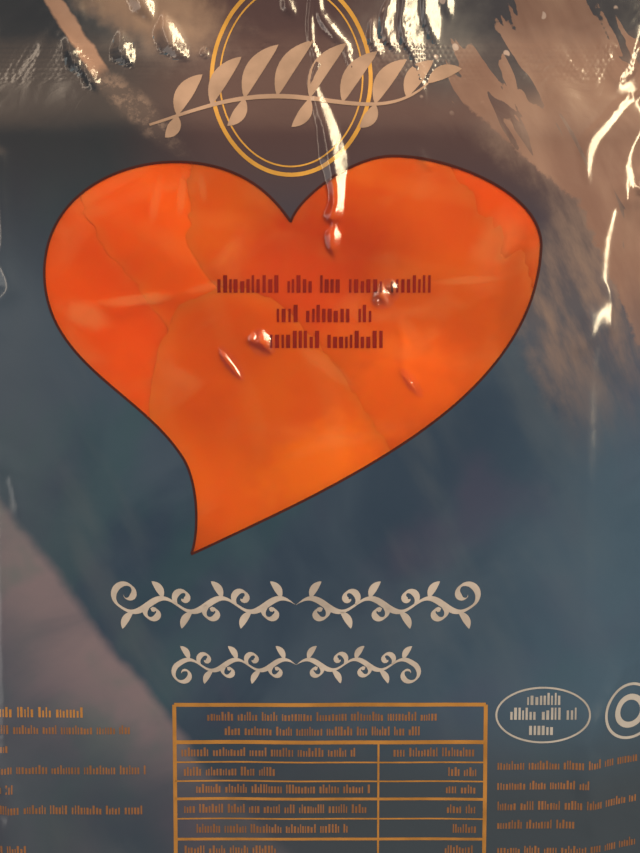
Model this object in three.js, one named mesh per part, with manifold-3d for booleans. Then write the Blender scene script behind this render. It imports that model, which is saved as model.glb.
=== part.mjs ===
// A vacuum pack of sliced smoked salmon: a printed film pouch welded all round,
// a clear heart-shaped window in its front, and five slices pressed flat inside it.
// Millimetres. The pack lies on its back: +Z is up through the window, +Y is the top of the print.
import * as THREE from 'three';
import { mergeVertices } from 'three/addons/utils/BufferGeometryUtils.js';
import Module from 'manifold-3d';

// The pouch
const PACK_WIDTH = 150;
const PACK_LENGTH = 200;
const CORNER_RADIUS = 4;
const FILM = 0.5; // thickness of the film's wall
const RIM_HEIGHT = 0.9; // front and back films welded together
const RIM_WAVE = 0.2; // how far the rim's surface waves up and down
const GAP = 0.3; // clearance between pieces that touch

// The weld runs in a band round the food. Past it at the top, a skirt of two loose films goes on to the edge.
const WELD_SIDE = 66; // X of its inner side, left and right
const WELD_BOTTOM = -90; // Y of its inner side at the bottom
const WELD_TOP = 72; // Y of its inner side at the top
const WELD_WIDTH = 7.5;
const SKIRT_LIFT = 1.3; // how far the skirt's films stand apart

// The food inside
const FOOD_WIDTH = 104;
const FOOD_BOTTOM = -71; // Y of its lower end
const FOOD_TOP = 63; // Y of its upper end
const FOOD_CORNER = 12;
const FOOD_HEIGHT = 5.4; // all layers of slices, pressed
const FOOD_CENTRE_Y = (FOOD_TOP + FOOD_BOTTOM) / 2;
const FOOD_LENGTH = FOOD_TOP - FOOD_BOTTOM;
const SHOULDER = 1.7; // level film past the food's edge before it falls to the weld

// Heights
const FLOOR_Z = FILM + GAP; // where the lowest slice lies
const ROOF_Z = FLOOR_Z + FOOD_HEIGHT; // underside of the film over the food
const FRONT_Z = ROOF_Z + FILM; // outside of the film over the food

// Pleats of slack film between the food and the weld
const PLEAT_SPACING = 17;
const PLEAT_HEIGHT = 0.9;

// Long creases of the front film, each a straight ridge that fades out at its ends
const CREASES = [
  { from: [4.8, 98], to: [7.6, 45], height: 0.9, half_width: 4 }, // down to the window
  { from: [-46, 97], to: [-33, 70], height: 1.3, half_width: 5 }, // top left
  { from: [-28, 93], to: [-17, 76], height: 0.9, half_width: 4 },
  { from: [21, 96], to: [25, 66], height: 1.2, half_width: 5 }, // top right
  { from: [64, 76], to: [52, 58], height: 1.2, half_width: 5 }, // upper right corner
  { from: [60, 65], to: [54, 36], height: 0.8, half_width: 4 },
  { from: [-62, 66], to: [-54, 38], height: 0.8, half_width: 4 }, // upper left side
];

// Cells of the grids that the film and the slices are worked out on
const FILM_CELL = 3.9;
const SLICE_CELL = 6.6;
const OUTLINE_STEPS = 44; // points round a slice's outline
const ARC_STEPS = 5; // pieces of each curve of the window's outline

// The window: a swept heart, its curves running clockwise from the notch between the lobes.
// Each row holds a curve's two handles and its end.
const NOTCH = [-0.2, 48.0];
const HEART_CURVES = [
  [[0.6, 51.6], [9.9, 59.1], [17.1, 59.2]], // right lobe
  [[26.6, 59.4], [43.4, 53.1], [43.1, 43.5]], // right side
  [[42.2, 17.0], [8.9, 2.5], [-18.0, -10.2]], // long sweep to the tip
  [[-16.5, -6.5], [-16.5, 2.6], [-19.4, 7.1]], // tail's left side
  [[-26.7, 18.6], [-42.8, 23.5], [-43.0, 38.7]], // left side
  [[-43.1, 51.3], [-31.7, 57.8], [-21.2, 58.2]], // left lobe
  [[-7.0, 58.6], [-2.1, 50.4], NOTCH], // down to the notch
];

// The slices from the lowest to the topmost: centre, half length, half width,
// turn of the long axis from +X in degrees, how much wider the lower end is,
// and how square it is, which is the exponent of the superellipse
const SLICES = [
  { x: -1, y: -3, half_length: 75, half_width: 58, turn: 91, flare: 0.0, squareness: 6 },
  { x: 2, y: -2, half_length: 72, half_width: 56, turn: 88, flare: 0.0, squareness: 4.5 },
  { x: 9, y: 34, half_length: 64, half_width: 27, turn: 134, flare: 0.0, squareness: 2.4 },
  { x: 22, y: 19, half_length: 64, half_width: 30, turn: 120, flare: 0.1, squareness: 2.4 },
  { x: 3, y: -20, half_length: 60, half_width: 30, turn: 107, flare: 0.3, squareness: 2.4 },
];
const TRIM_SHARPNESS = 20; // how tightly a slice's outline follows the food's edge
const EDGE_EASE_IN = 4; // a slice reaches full thickness this far inside its outline
const EDGE_EASE_OUT = 14; // layers above come back down this far outside it
const THINNEST = 0.05; // least thickness of a layer where its slice has ended

const printedFilm = new THREE.MeshStandardMaterial({ name: 'printed_film', color: 0x3d4b58, roughness: 0.3 });
const clearFilm = new THREE.MeshStandardMaterial({
  name: 'clear_film', color: 0xf2e6d8, roughness: 0.1, transparent: true, opacity: 0.35,
});
const salmon = new THREE.MeshStandardMaterial({ name: 'salmon', color: 0xd2541f, roughness: 0.45 });

const wasm = await Module();
wasm.setup();

function clamp(value, low, high) {
  return Math.min(Math.max(value, low), high);
}

function smooth(t) {
  const c = clamp(t, 0, 1);
  return c * c * (3 - 2 * c);
}

// Distance of a point from the food's rounded rectangle, positive outside.
function distanceFromFood(x, y) {
  const dx = Math.abs(x) - FOOD_WIDTH / 2 + FOOD_CORNER;
  const dy = Math.abs(y - FOOD_CENTRE_Y) - FOOD_LENGTH / 2 + FOOD_CORNER;
  const outside = Math.hypot(Math.max(dx, 0), Math.max(dy, 0));
  return outside + Math.min(Math.max(dx, dy), 0) - FOOD_CORNER;
}

// How far a point lies on the way from the food's edge to the weld: 0 at the food, 1 at the weld.
function wayToWeld(x, y) {
  const side = (Math.abs(x) - FOOD_WIDTH / 2 - SHOULDER) / (WELD_SIDE - FOOD_WIDTH / 2 - SHOULDER);
  const top = (y - FOOD_TOP - SHOULDER) / (WELD_TOP - FOOD_TOP - SHOULDER);
  const bottom = (FOOD_BOTTOM - SHOULDER - y) / (FOOD_BOTTOM - SHOULDER - WELD_BOTTOM);
  const corner = Math.hypot(Math.max(side, 0), Math.max(top, bottom, 0));
  return clamp(distanceFromFood(x, y) > SHOULDER ? corner : 0, 0, 1);
}

// Pleats run out from the food to the weld. Their phase goes round the food, unevenly.
function pleat(x, y) {
  const along = Math.abs(y - FOOD_CENTRE_Y) > FOOD_LENGTH / 2 ? x : y;
  const uneven = along + 4.5 * Math.sin(along * 0.11 + 1.3) + 0.18 * (x + y);
  return Math.cos((2 * Math.PI * uneven) / PLEAT_SPACING);
}

function creaseHeight(crease, x, y) {
  const [dx, dy] = [crease.to[0] - crease.from[0], crease.to[1] - crease.from[1]];
  const [px, py] = [x - crease.from[0], y - crease.from[1]];
  const along = (px * dx + py * dy) / (dx * dx + dy * dy);
  const across = Math.abs(px * dy - py * dx) / Math.hypot(dx, dy);
  const fade = smooth(4 * Math.min(along, 1 - along));
  return crease.height * fade * Math.max(1 - across / crease.half_width, 0) ** 2;
}

function rimHeight(x, y) {
  return RIM_HEIGHT + RIM_WAVE * Math.sin(x * 0.075 + 0.8) * Math.cos(y * 0.062 - 0.5);
}

// The skirt's front film rises past the weld and comes down again towards the pack's edge.
function skirtHeight(x, y) {
  const past = (y - WELD_TOP - WELD_WIDTH) / (PACK_LENGTH / 2 - WELD_TOP - WELD_WIDTH);
  const rise = Math.sin(Math.PI * clamp(past, 0, 1)) * smooth((PACK_WIDTH / 2 - Math.abs(x)) / WELD_WIDTH);
  return SKIRT_LIFT * rise * (1 + 0.5 * pleat(x, FOOD_TOP));
}

// Outside of the front film: level over the food, a slope with pleats round it, the weld and the skirt.
function filmHeight(x, y) {
  const way = wayToWeld(x, y);
  const rim = rimHeight(x, y);
  const slope = rim + (FRONT_Z - rim) * (1 - smooth(way));
  const slack = PLEAT_HEIGHT * Math.sin(Math.PI * way) ** 2 * pleat(x, y);
  const creases = CREASES.reduce((sum, crease) => sum + creaseHeight(crease, x, y), 0);
  return slope + slack + skirtHeight(x, y) + creases;
}

// A closed block on a grid of cells, its top a height function and its bottom another one
// or, where bottomAt is a number, one flat face.
function slab(width, length, centreY, cell, bottomAt, topAt) {
  const columns = Math.round(width / cell);
  const rows = Math.round(length / cell);
  const flat = typeof bottomAt === 'number';
  const layer = (columns + 1) * (rows + 1);
  const points = [];
  for (const heightAt of [flat ? () => bottomAt : bottomAt, topAt]) {
    for (let row = 0; row <= rows; row++) {
      for (let column = 0; column <= columns; column++) {
        const x = (column / columns - 0.5) * width;
        const y = centreY + (row / rows - 0.5) * length;
        points.push(x, y, heightAt(x, y));
      }
    }
  }
  const middle = points.length / 3;
  const faces = [];
  const at = (column, row) => row * (columns + 1) + column;
  for (let row = 0; row < rows; row++) {
    for (let column = 0; column < columns; column++) {
      const [a, b] = [at(column, row), at(column + 1, row)];
      const [d, c] = [at(column, row + 1), at(column + 1, row + 1)];
      faces.push(a + layer, b + layer, c + layer, a + layer, c + layer, d + layer);
      if (!flat) {
        faces.push(a, c, b, a, d, c);
      }
    }
  }
  const wall = (a, b) => {
    faces.push(a, b, b + layer, a, b + layer, a + layer);
    if (flat) {
      faces.push(b, a, middle);
    }
  };
  for (let column = 0; column < columns; column++) {
    wall(at(column, 0), at(column + 1, 0));
    wall(at(column + 1, rows), at(column, rows));
  }
  for (let row = 0; row < rows; row++) {
    wall(at(columns, row), at(columns, row + 1));
    wall(at(0, row + 1), at(0, row));
  }
  if (flat) {
    points.push(0, centreY, bottomAt);
  }
  return withoutLoosePoints(points, faces);
}

// A solid of the points that the faces use.
function withoutLoosePoints(points, faces) {
  const kept = new Map();
  for (const corner of faces) {
    if (!kept.has(corner)) {
      kept.set(corner, kept.size);
    }
  }
  const used = [...kept.keys()].flatMap((corner) => points.slice(3 * corner, 3 * corner + 3));
  return solidFrom(used, faces.map((corner) => kept.get(corner)));
}

function solidFrom(points, faces) {
  const mesh = new wasm.Mesh({
    numProp: 3,
    vertProperties: Float32Array.from(points),
    triVerts: Uint32Array.from(faces),
  });
  return new wasm.Manifold(mesh);
}

// An outline in the plane, raised from one height to another.
function prism(outline, fromZ, toZ) {
  const shape = new THREE.Shape(outline);
  const geometry = new THREE.ExtrudeGeometry(shape, { depth: toZ - fromZ, bevelEnabled: false });
  geometry.translate(0, 0, fromZ);
  geometry.deleteAttribute('normal');
  geometry.deleteAttribute('uv');
  const merged = mergeVertices(geometry);
  return solidFrom(merged.attributes.position.array, merged.index.array);
}

function meshOf(name, solid, material) {
  const { vertProperties, triVerts } = solid.getMesh();
  const geometry = new THREE.BufferGeometry();
  geometry.setAttribute('position', new THREE.BufferAttribute(vertProperties, 3));
  geometry.setIndex(new THREE.BufferAttribute(triVerts, 1));
  geometry.computeVertexNormals();
  const mesh = new THREE.Mesh(geometry, material);
  mesh.name = name;
  return mesh;
}

function roundedRectangle(width, length, centreY, radius) {
  const [left, bottom] = [-width / 2, centreY - length / 2];
  const [right, top] = [width / 2, centreY + length / 2];
  const path = new THREE.Path();
  path.moveTo(left + radius, bottom);
  path.lineTo(right - radius, bottom);
  path.absarc(right - radius, bottom + radius, radius, -Math.PI / 2, 0);
  path.lineTo(right, top - radius);
  path.absarc(right - radius, top - radius, radius, 0, Math.PI / 2);
  path.lineTo(left + radius, top);
  path.absarc(left + radius, top - radius, radius, Math.PI / 2, Math.PI);
  path.lineTo(left, bottom + radius);
  path.absarc(left + radius, bottom + radius, radius, Math.PI, 1.5 * Math.PI);
  return withoutRepeats(path.getPoints(3));
}

function withoutRepeats(points) {
  return points.filter((p, i) => p.distanceTo(points[(i + 1) % points.length]) > 0.01);
}

// The heart's outline, each of its sides moved inwards by inset and the corners mitred.
function heartOutline(inset) {
  const path = new THREE.Path();
  path.moveTo(...NOTCH);
  for (const [first, second, end] of HEART_CURVES) {
    path.bezierCurveTo(...first, ...second, ...end);
  }
  const points = withoutRepeats(path.getPoints(ARC_STEPS));
  const inward = points.map((point, i) => {
    const side = points[(i + 1) % points.length].clone().sub(point).normalize();
    return new THREE.Vector2(side.y, -side.x);
  });
  return points.map((point, i) => {
    const before = inward[(i + points.length - 1) % points.length];
    const corner = before.clone().add(inward[i]);
    return point.clone().addScaledVector(corner, inset / (1 + before.dot(inward[i])));
  });
}

// How far a slice reaches from its centre in one direction: a superellipse that flares
// towards its lower end, trimmed softly where it meets the food's edge.
function sliceReach(slice, angle) {
  const turn = THREE.MathUtils.degToRad(slice.turn);
  const along = Math.cos(angle - turn);
  const across = Math.sin(angle - turn) / (1 - slice.flare * along);
  const own = (Math.abs(along) / slice.half_length) ** slice.squareness
    + (Math.abs(across) / slice.half_width) ** slice.squareness;
  const reaches = [own ** (-1 / slice.squareness)];
  const sideX = Math.sign(Math.cos(angle)) * FOOD_WIDTH / 2 - slice.x;
  const sideY = (Math.sin(angle) > 0 ? FOOD_TOP : FOOD_BOTTOM) - slice.y;
  reaches.push(Math.abs(sideX / Math.cos(angle)), Math.abs(sideY / Math.sin(angle)));
  const sum = reaches.reduce((total, reach) => total + reach ** -TRIM_SHARPNESS, 0);
  return sum ** (-1 / TRIM_SHARPNESS) - 2 * GAP;
}

function sliceOutline(slice) {
  const points = [];
  for (let step = 0; step < OUTLINE_STEPS; step++) {
    const angle = ((step + 0.5) / OUTLINE_STEPS) * 2 * Math.PI;
    const reach = sliceReach(slice, angle);
    points.push(new THREE.Vector2(slice.x + reach * Math.cos(angle), slice.y + reach * Math.sin(angle)));
  }
  return points;
}

// How much of a slice's thickness the layers above a point lie on: 1 inside its outline, easing to 0 outside.
function cover(slice, x, y) {
  const angle = Math.atan2(y - slice.y, x - slice.x);
  const outside = Math.hypot(x - slice.x, y - slice.y) - sliceReach(slice, angle);
  return clamp((EDGE_EASE_OUT - outside) / (EDGE_EASE_OUT + EDGE_EASE_IN), 0, 1);
}

// The slices are pressed to one level: at each point they share the height by their cover.
function layerHeight(index, x, y) {
  const covers = SLICES.map((slice) => cover(slice, x, y));
  const sum = (list) => list.reduce((total, value) => total + value, 0);
  return FLOOR_Z + (FOOD_HEIGHT * sum(covers.slice(0, index))) / Math.max(sum(covers), 1);
}

function makePouch() {
  const body = slab(PACK_WIDTH, PACK_LENGTH, 0, FILM_CELL, 0, filmHeight);
  const outline = prism(roundedRectangle(PACK_WIDTH, PACK_LENGTH, 0, CORNER_RADIUS), -1, FRONT_Z + 3);
  const [pocketWidth, pocketLength] = [FOOD_WIDTH + 2 * GAP, FOOD_LENGTH + 2 * GAP];
  const pocketOutline = roundedRectangle(pocketWidth, pocketLength, FOOD_CENTRE_Y, FOOD_CORNER);
  const pocket = prism(pocketOutline, FILM, ROOF_Z);
  const opening = prism(heartOutline(0), ROOF_Z - 1, FRONT_Z + 3);
  return body.intersect(outline).subtract(pocket).subtract(opening);
}

function makeWindow() {
  return prism(heartOutline(GAP), ROOF_Z, FRONT_Z);
}

function makeSlice(index) {
  const bottomAt = index === 0 ? FLOOR_Z : (x, y) => layerHeight(index, x, y);
  const topAt = (x, y) => Math.max(layerHeight(index + 1, x, y) - GAP, layerHeight(index, x, y) + THINNEST);
  const layer = slab(FOOD_WIDTH, FOOD_LENGTH, FOOD_CENTRE_Y, SLICE_CELL, bottomAt, topAt);
  return layer.intersect(prism(sliceOutline(SLICES[index]), 0, FRONT_Z));
}

const pack = new THREE.Group();
pack.add(meshOf('pouch', makePouch(), printedFilm));
pack.add(meshOf('window', makeWindow(), clearFilm));
for (let index = 0; index < SLICES.length; index++) {
  pack.add(meshOf(`salmon_slice_${index + 1}`, makeSlice(index), salmon));
}

export default pack;
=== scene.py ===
"""A vacuum pack of sliced smoked salmon: glossy printed film, welded all round with a knurled band, and a
clear heart-shaped window over the pressed slices.

Lengths are millimetres until a mesh is made. +Z is up through the window, +Y is the top of the print.
"""

import bpy
import numpy as np
from mathutils import Matrix, Vector


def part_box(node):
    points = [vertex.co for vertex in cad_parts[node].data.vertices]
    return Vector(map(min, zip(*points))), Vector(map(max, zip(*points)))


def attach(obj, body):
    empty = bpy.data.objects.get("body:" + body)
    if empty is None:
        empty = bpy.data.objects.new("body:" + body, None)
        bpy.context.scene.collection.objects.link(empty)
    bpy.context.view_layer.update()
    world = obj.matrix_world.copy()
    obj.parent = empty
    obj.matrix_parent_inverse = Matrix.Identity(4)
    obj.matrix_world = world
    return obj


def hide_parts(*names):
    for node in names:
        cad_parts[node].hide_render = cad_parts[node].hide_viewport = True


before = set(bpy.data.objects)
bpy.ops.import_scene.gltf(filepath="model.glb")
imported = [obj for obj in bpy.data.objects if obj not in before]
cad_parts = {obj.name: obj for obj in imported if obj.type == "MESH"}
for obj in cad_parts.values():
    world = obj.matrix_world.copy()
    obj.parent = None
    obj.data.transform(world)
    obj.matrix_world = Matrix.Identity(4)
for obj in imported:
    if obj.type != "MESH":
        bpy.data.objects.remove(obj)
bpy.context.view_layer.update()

MM = 0.001
TURN = 2 * np.pi


def box_mm(node):
    """A node's box in millimetres."""
    low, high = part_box(node)
    return np.array(low) / MM, np.array(high) / MM


# ---------------------------------------------------------------- sizes

POUCH_LOW, POUCH_HIGH = box_mm("pouch")
PACK_WIDTH, PACK_LENGTH = (POUCH_HIGH - POUCH_LOW)[:2]
FRONT_Z = box_mm("window")[1][2]  # outside of the film over the food
CORNER_RADIUS = 4
RIM_HEIGHT = 0.9
RIM_WAVE = 0.2
FILM_THICKNESS = 0.12

WELD_SIDE = 66  # X of the side weld's inner edge
WELD_BOTTOM = -90
WELD_TOP = 72
WELD_WIDTH = 7.5
SKIRT_LIFT = 0.7
SKIRT_GAP = 0.65  # the back film's part of the skirt's lift

FOOD_WIDTH = 104
FOOD_BOTTOM = -71
FOOD_TOP = 63
FOOD_CORNER = 12
FOOD_CENTRE_Y = (FOOD_TOP + FOOD_BOTTOM) / 2
FOOD_LENGTH = FOOD_TOP - FOOD_BOTTOM
SHOULDER = 1.7
FALL_START = 1.0  # how far inside the food's edge the film begins to fall
FALL_FOOT = 73  # X at which it has come down to the rim
FALL_ENDS = 26.5  # how far it takes to come down at both ends
# Y and X of the uneven line along which the film starts to fall at the right side
RIGHT_FALL = [(-100, 51), (20, 51.4), (30, 52.6), (40.3, 53.1), (45.1, 53.5), (47.5, 54.2), (50.1, 55.1),
              (51.7, 56.8), (57.5, 57.0), (61, 58.2), (65, 60.2), (74, 58), (90, 54)]
PLEAT_SPACING = 17
PLEAT_HEIGHT = 0.05
PLEAT_SWING = (4.5, 0.11, 1.3)  # how far their phase swings, how fast along the edge, and from where
PLEAT_SLANT = 0.18
PLEATS_IN_SKIRT = 0.5

# Where the film starts to lie loose, over how long a way, and how loose it gets: top, sides and bottom
LOOSE_ENDS = [(60, 16, 1.0), (47, 14, 0.8), (66, 14, 0.7)]
# Ripples and crumples of the film: height, wavelength and seed
FISH_SWELL = (0.09, 26, 61)
LOOSE_CRUMPLES = [(0.05, 17, 41), (0.02, 6, 51)]
CLINGING_CRUMPLE = (0.008, 11, 71)
# How far folds and creases wander off their routes, over which wavelength, and the seed
FOLD_WANDER = (0.45, 9, 31)
CREASE_WANDER = (0.09, 9, 33)

# Grids: the films' cells, and how many parts a cell of the knurled weld is cut into each way
FILM_COLUMNS = 300
FILM_ROWS = 350
# Where the grid is closer: middle, reach to each side and added share of lines
DENSE_X = [(7, 9, 1.3), (22, 10, 0.5), (56, 9, 0.9)]
DENSE_Y = [(70, 40, 0.25)]
DENSITY_SAMPLES = 4001
KNURL_PARTS = 3
KNURL_PITCH = (0.93, 0.85)
KNURL_DOT = 0.46  # a dome's radius as a share of the pitch
KNURL_BORDER = 0.4  # how wide the plain border and the fade of the knurl are
KNURL_DEPTH = 0.012
KNURL_DEEPER = 0.05  # added depth where the top weld is pressed hardest
KNURL_DEEP_X = 22.5
KNURL_DEEP_REACH = 12

# The window's outline runs clockwise from the notch: two handles and the end of each curve
NOTCH = (-0.2, 48.0)
HEART_CURVES = [
    ((0.6, 51.6), (9.9, 59.1), (17.1, 59.2)),
    ((26.6, 59.4), (43.4, 53.1), (43.1, 43.5)),
    ((42.2, 17.0), (8.9, 2.5), (-18.0, -10.2)),
    ((-16.5, -6.5), (-16.5, 2.6), (-19.4, 7.1)),
    ((-26.7, 18.6), (-42.8, 23.5), (-43.0, 38.7)),
    ((-43.1, 51.3), (-31.7, 57.8), (-21.2, 58.2)),
    ((-7.0, 58.6), (-2.1, 50.4), NOTCH),
]
HEART_TIP = HEART_CURVES[2][2]
CURVE_STEPS = 60

# Slices from the lowest to the topmost: centre, half length, half width, turn of the long axis from +X in
# degrees, how much wider the lower end is, how square the outline is, and how torn its edge is
SLICE_KEYS = ("x", "y", "half_length", "half_width", "turn", "flare", "squareness", "tear")
SLICES = [dict(zip(SLICE_KEYS, values)) for values in (
    (-1, -3, 75, 58, 91, 0.0, 6, 0.4),
    (2, -2, 72, 56, 88, 0.0, 4.5, 0.4),
    (9, 34, 64, 27, 134, 0.0, 2.4, 0.7),
    (22, 19, 64, 30, 120, 0.1, 2.4, 1.5),
    (3, -20, 60, 30, 107, 0.3, 2.4, 0.6),
)]
TRIM_SHARPNESS = 20
EDGE_GAP = 0.6  # between the food's edge and a slice trimmed there
TORN_RIPPLES = [(0.5, 11), (0.35, 4.5), (0.15, 1.9)]  # height and wavelength
TORN_LEVEL = 1.2  # ripples below this level bite into the edge
EDGE_EASE_IN = 6.0
TRAY_Z = 0.1  # inside of the back film
FILM_TO_FISH = 0.15
SLICE_ANGLES = 360
SLICE_RINGS = 44
RING_CROWDING = 1.7  # how much closer the rings lie at a slice's edge
HUB_DEPTH = 50  # stands for "far from the edge" at a slice's centre

# Soft folds of the front film: a route of straight stretches, height of the crest, half width
FOLDS = [
    ([(-45, 95), (-41.8, 86), (-32.7, 70)], 0.15, 5.0),  # upper left
    ([(-30, 90), (-27.5, 80), (-24, 73)], 0.12, 5.0),
    ([(-24, 92), (-20.7, 83), (-16.5, 76)], 0.12, 4.5),
    ([(61, 83), (58.9, 75), (55.5, 70)], 0.5, 2.4),  # right side
    ([(62, 58), (57.6, 53.4), (59.1, 48)], 0.4, 2.2),
    ([(55.6, 38), (54.8, 28)], 0.4, 2.0),
    ([(53.1, 34), (50.1, 24)], 0.35, 1.8),
    ([(-61, 69), (-50.5, 59), (-49.9, 36), (-53.8, 22)], 0.6, 3.0),  # left side
    ([(-60, 12), (-49.2, 4), (-47.5, -8)], 0.3, 3.0),
    ([(-59.4, -41), (-51.5, -54), (-52.9, -67)], 0.6, 3.4),
    ([(61, -29), (53.1, -46), (55.5, -65)], 0.6, 3.4),
    ([(18.2, 31), (19.5, 22), (22.5, 18.6)], 0.08, 1.2),  # fine ones over the window
    ([(21.4, 60.7), (25.1, 56.3)], 0.12, 1.1),
    ([(-39.7, 31), (-30.7, 34), (-21.8, 35), (-14.8, 36.4)], 0.08, 2.8),
]
# The sharp creases of the crumpled film are tilted so that each mirrors one of two long lamps. This is the
# X and Z of each lamp's middle line
RIGHT_LAMP = (420, 600)
LEFT_LAMP = (-360, 560)
LAMP_RANGE = (-3000, 9000)  # how far along Y a lamp's line is searched
LAMP_HALVINGS = 40
# Creases, by the lamp and by how wide the other flank is next to the tilted one. Each is a route from its
# upper end down, with the width of the tilted flank at each point
CREASES = {
    (RIGHT_LAMP, 0.7): [
        [(3.9, 92, 0.8), (3.6, 83.3, 1.0), (3.6, 79.2, 0.9), (4.8, 75.6, 1.2), (3.9, 71.6, 1.1),
         (5.8, 67.3, 1.9), (6.7, 64.6, 2.0), (7.9, 59.3, 2.7), (8.4, 57.1, 2.4), (8.4, 53.4, 1.7),
         (8.1, 50.9, 1.6), (7.6, 48.6, 1.9), (7.5, 47.6, 0.2), (7.6, 46.2, 1.7), (7.6, 43.9, 1.5),
         (7.6, 42.2, 0)],
        [(4.6, 88, 0.9), (5.3, 84.6, 1.2), (6.5, 82.8, 1.3), (9.9, 79.2, 1.2), (10.2, 76.6, 0.9),
         (11.8, 71, 0)],
        [(61.4, 71.2, 0.8), (59.3, 69.9, 0.9), (56.4, 67.4, 1.2), (54.3, 64.9, 1.3), (52, 62, 1.6),
         (51, 59.9, 1.6), (50.9, 56.9, 1.1), (51.4, 53.5, 0)],
        [(58, 58.8, 0.7), (58.5, 57.1, 0.8), (59.1, 54.2, 0.9), (60.4, 53.2, 0.7), (62, 52.6, 0)],
        [(60.2, 78, 0.6), (59.1, 74.4, 0.7), (57.2, 72.7, 0.7), (56.4, 72.2, 0)],
        [(17.2, 38.4, 0), (17.6, 37, 1.3), (17.9, 35.2, 0)],
        [(15.5, 37.6, 0), (16, 36, 1.7), (16.5, 33.6, 0)],
        [(14.6, 35.6, 0), (14.9, 34.7, 0.8), (15.1, 33.2, 0)],
        [(-7, 29.2, 0), (-6.4, 28, 1.2), (-5.6, 26.2, 0)],
        [(-5.2, 29.8, 0), (-4.4, 27.9, 1.8), (-3.5, 25.2, 0)],
        [(-12.6, 26.3, 0), (-12, 25.4, 0.6), (-9.4, 21.7, 0.5), (-8.8, 20.8, 0)],
        [(19, 22.2, 0), (20.8, 20.4, 0.4), (22.4, 17.8, 0)],
        [(-0.8, 87.5, 1.2), (-0.2, 85.4, 1.6), (0.6, 83.2, 0)],
    ],
    (RIGHT_LAMP, 0.15): [
        [(13.9, 84.2, 0), (14.4, 82.6, 1.9), (14.8, 80.2, 2.6), (15.3, 78, 1.6), (15.7, 76.6, 0)],
        [(27.3, 92, 2.2), (27.4, 88.4, 2.5), (27.4, 85, 1.8), (28, 82.6, 0)],
    ],
    (RIGHT_LAMP, 0.12): [
        [(17.6, 88, 0.8), (17.6, 85.2, 3.0), (17.5, 82.4, 3.6), (18, 79.8, 2.9), (18.6, 77.2, 0)],
        [(21, 92, 2.6), (21, 87.4, 3.8), (20.9, 83, 4.0), (21.3, 79.8, 3.6), (22.3, 76.6, 1.9),
         (22.7, 72.6, 1.2), (22.9, 66.4, 0)],
        [(24.5, 92, 3.2), (24.6, 87.4, 3.5), (24.4, 83.6, 3.2), (25, 80.6, 1.9), (25.6, 78.6, 0)],
    ],
    (RIGHT_LAMP, 0.8): [
        [(-30.2, 82, 0), (-29, 79.2, 2.1), (-28.3, 77, 2.5), (-27.7, 74.6, 0)],
        [(-22.8, 85, 0), (-21.6, 82.4, 2.2), (-20.2, 79.8, 2.7), (-18.6, 77.4, 1.5), (-17.6, 76, 0)],
        [(-26.4, 88, 2.0), (-25.1, 85.7, 2.3), (-24, 82.4, 0)],
        [(-15.9, 79, 0), (-15.2, 77.6, 1.0), (-14.6, 76.2, 0)],
    ],
    (RIGHT_LAMP, 0.6): [
        [(-39.4, 81, 0), (-38, 78.2, 1.8), (-36.8, 75.6, 2.0), (-35.6, 73, 0)],
        [(-36.4, 77, 0), (-35, 74.4, 1.6), (-34, 72.4, 1.6), (-33, 70, 0)],
    ],
    (LEFT_LAMP, 1.2): [
        [(-39.5, 88, 0.8), (-37.1, 83.7, 0.8), (-35.9, 82.6, 0)],
        [(-35, 88, 0.8), (-34.4, 84.5, 0.9), (-35.6, 82.6, 0)],
        [(-41.6, 81.8, 0), (-40.6, 80.8, 0.8), (-39.4, 80.4, 0)],
    ],
}
CREASE_STEP = 0.8  # a crease's fall is worked out anew at each step
CREASE_REACH = 4  # beyond this far from its route a crease raises nothing
TILT_STEPS = 8
CREASE_ROUNDING = (0.1, 0.03)  # share of the tilted flank's width, and what is added to it
CREASE_SLANT = 0.4  # a flank that runs more nearly along Y than this is tilted no further
FOLD_END = 0.25  # share of a fold's route over which it fades at each end
CREST_ROUNDING = 0.45
PUCKER_PLACE = (20, 82)
PUCKER_RADIUS = 10
PUCKER_HEIGHT = 0.045
PUCKER_STRETCH = 0.8
PUCKER_CRUMPLE = (2.4, 81)  # wavelength and seed
# Crinkled spots of the clear film, on closer grids of their own: middle, half length, half width, turn
CRINKLES = [((16.3, 35.6), 3.1, 2.2, 50), ((-5.2, 27.2), 2.7, 2.4, -40), ((-10.7, 23.6), 3.8, 1.2, -55),
            ((20.8, 20.2), 3.2, 1.1, -53)]
CRINKLE_CELL = 0.13
CRINKLE_LIFT = 0.04
CRINKLE_CRUMPLE = (0.01, 1.5, 91)  # height, wavelength and seed
OUTLINE_MARGIN = 2
NEARLY_ZERO = 1e-6


# ---------------------------------------------------------------- camera

LENS = 50.0
SENSOR = 36.0
FRAME_HEIGHT = 149.6  # how much of the pack's length the view takes in
AIM = np.array([4.8, 12.5, 6.7])
TILT = np.radians(5)
CAMERA_DISTANCE = FRAME_HEIGHT * LENS / SENSOR
CAMERA_PLACE = AIM + CAMERA_DISTANCE * np.array([0, np.sin(TILT), np.cos(TILT)])


# ---------------------------------------------------------------- heights

def smooth(t):
    """Eases from 0 to 1: three times the square less twice the cube of t, which is held between 0 and 1."""
    c = np.clip(t, 0, 1)
    return c * c * (3 - 2 * c)


def ripples(x, y, wavelength, seed, waves=14):
    """Sum of sine waves of about one wavelength that run in random directions, mostly within -1.5 to
    1.5."""
    draw = np.random.default_rng(seed)
    directions = draw.uniform(0, TURN, waves)
    lengths = wavelength * draw.uniform(0.7, 1.4, waves)
    phases = draw.uniform(0, TURN, waves)
    total = 0
    for direction, length, phase in zip(directions, lengths, phases):
        total = total + np.sin(TURN * (x * np.cos(direction) + y * np.sin(direction)) / length + phase)
    return total / np.sqrt(waves / 2)


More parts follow.
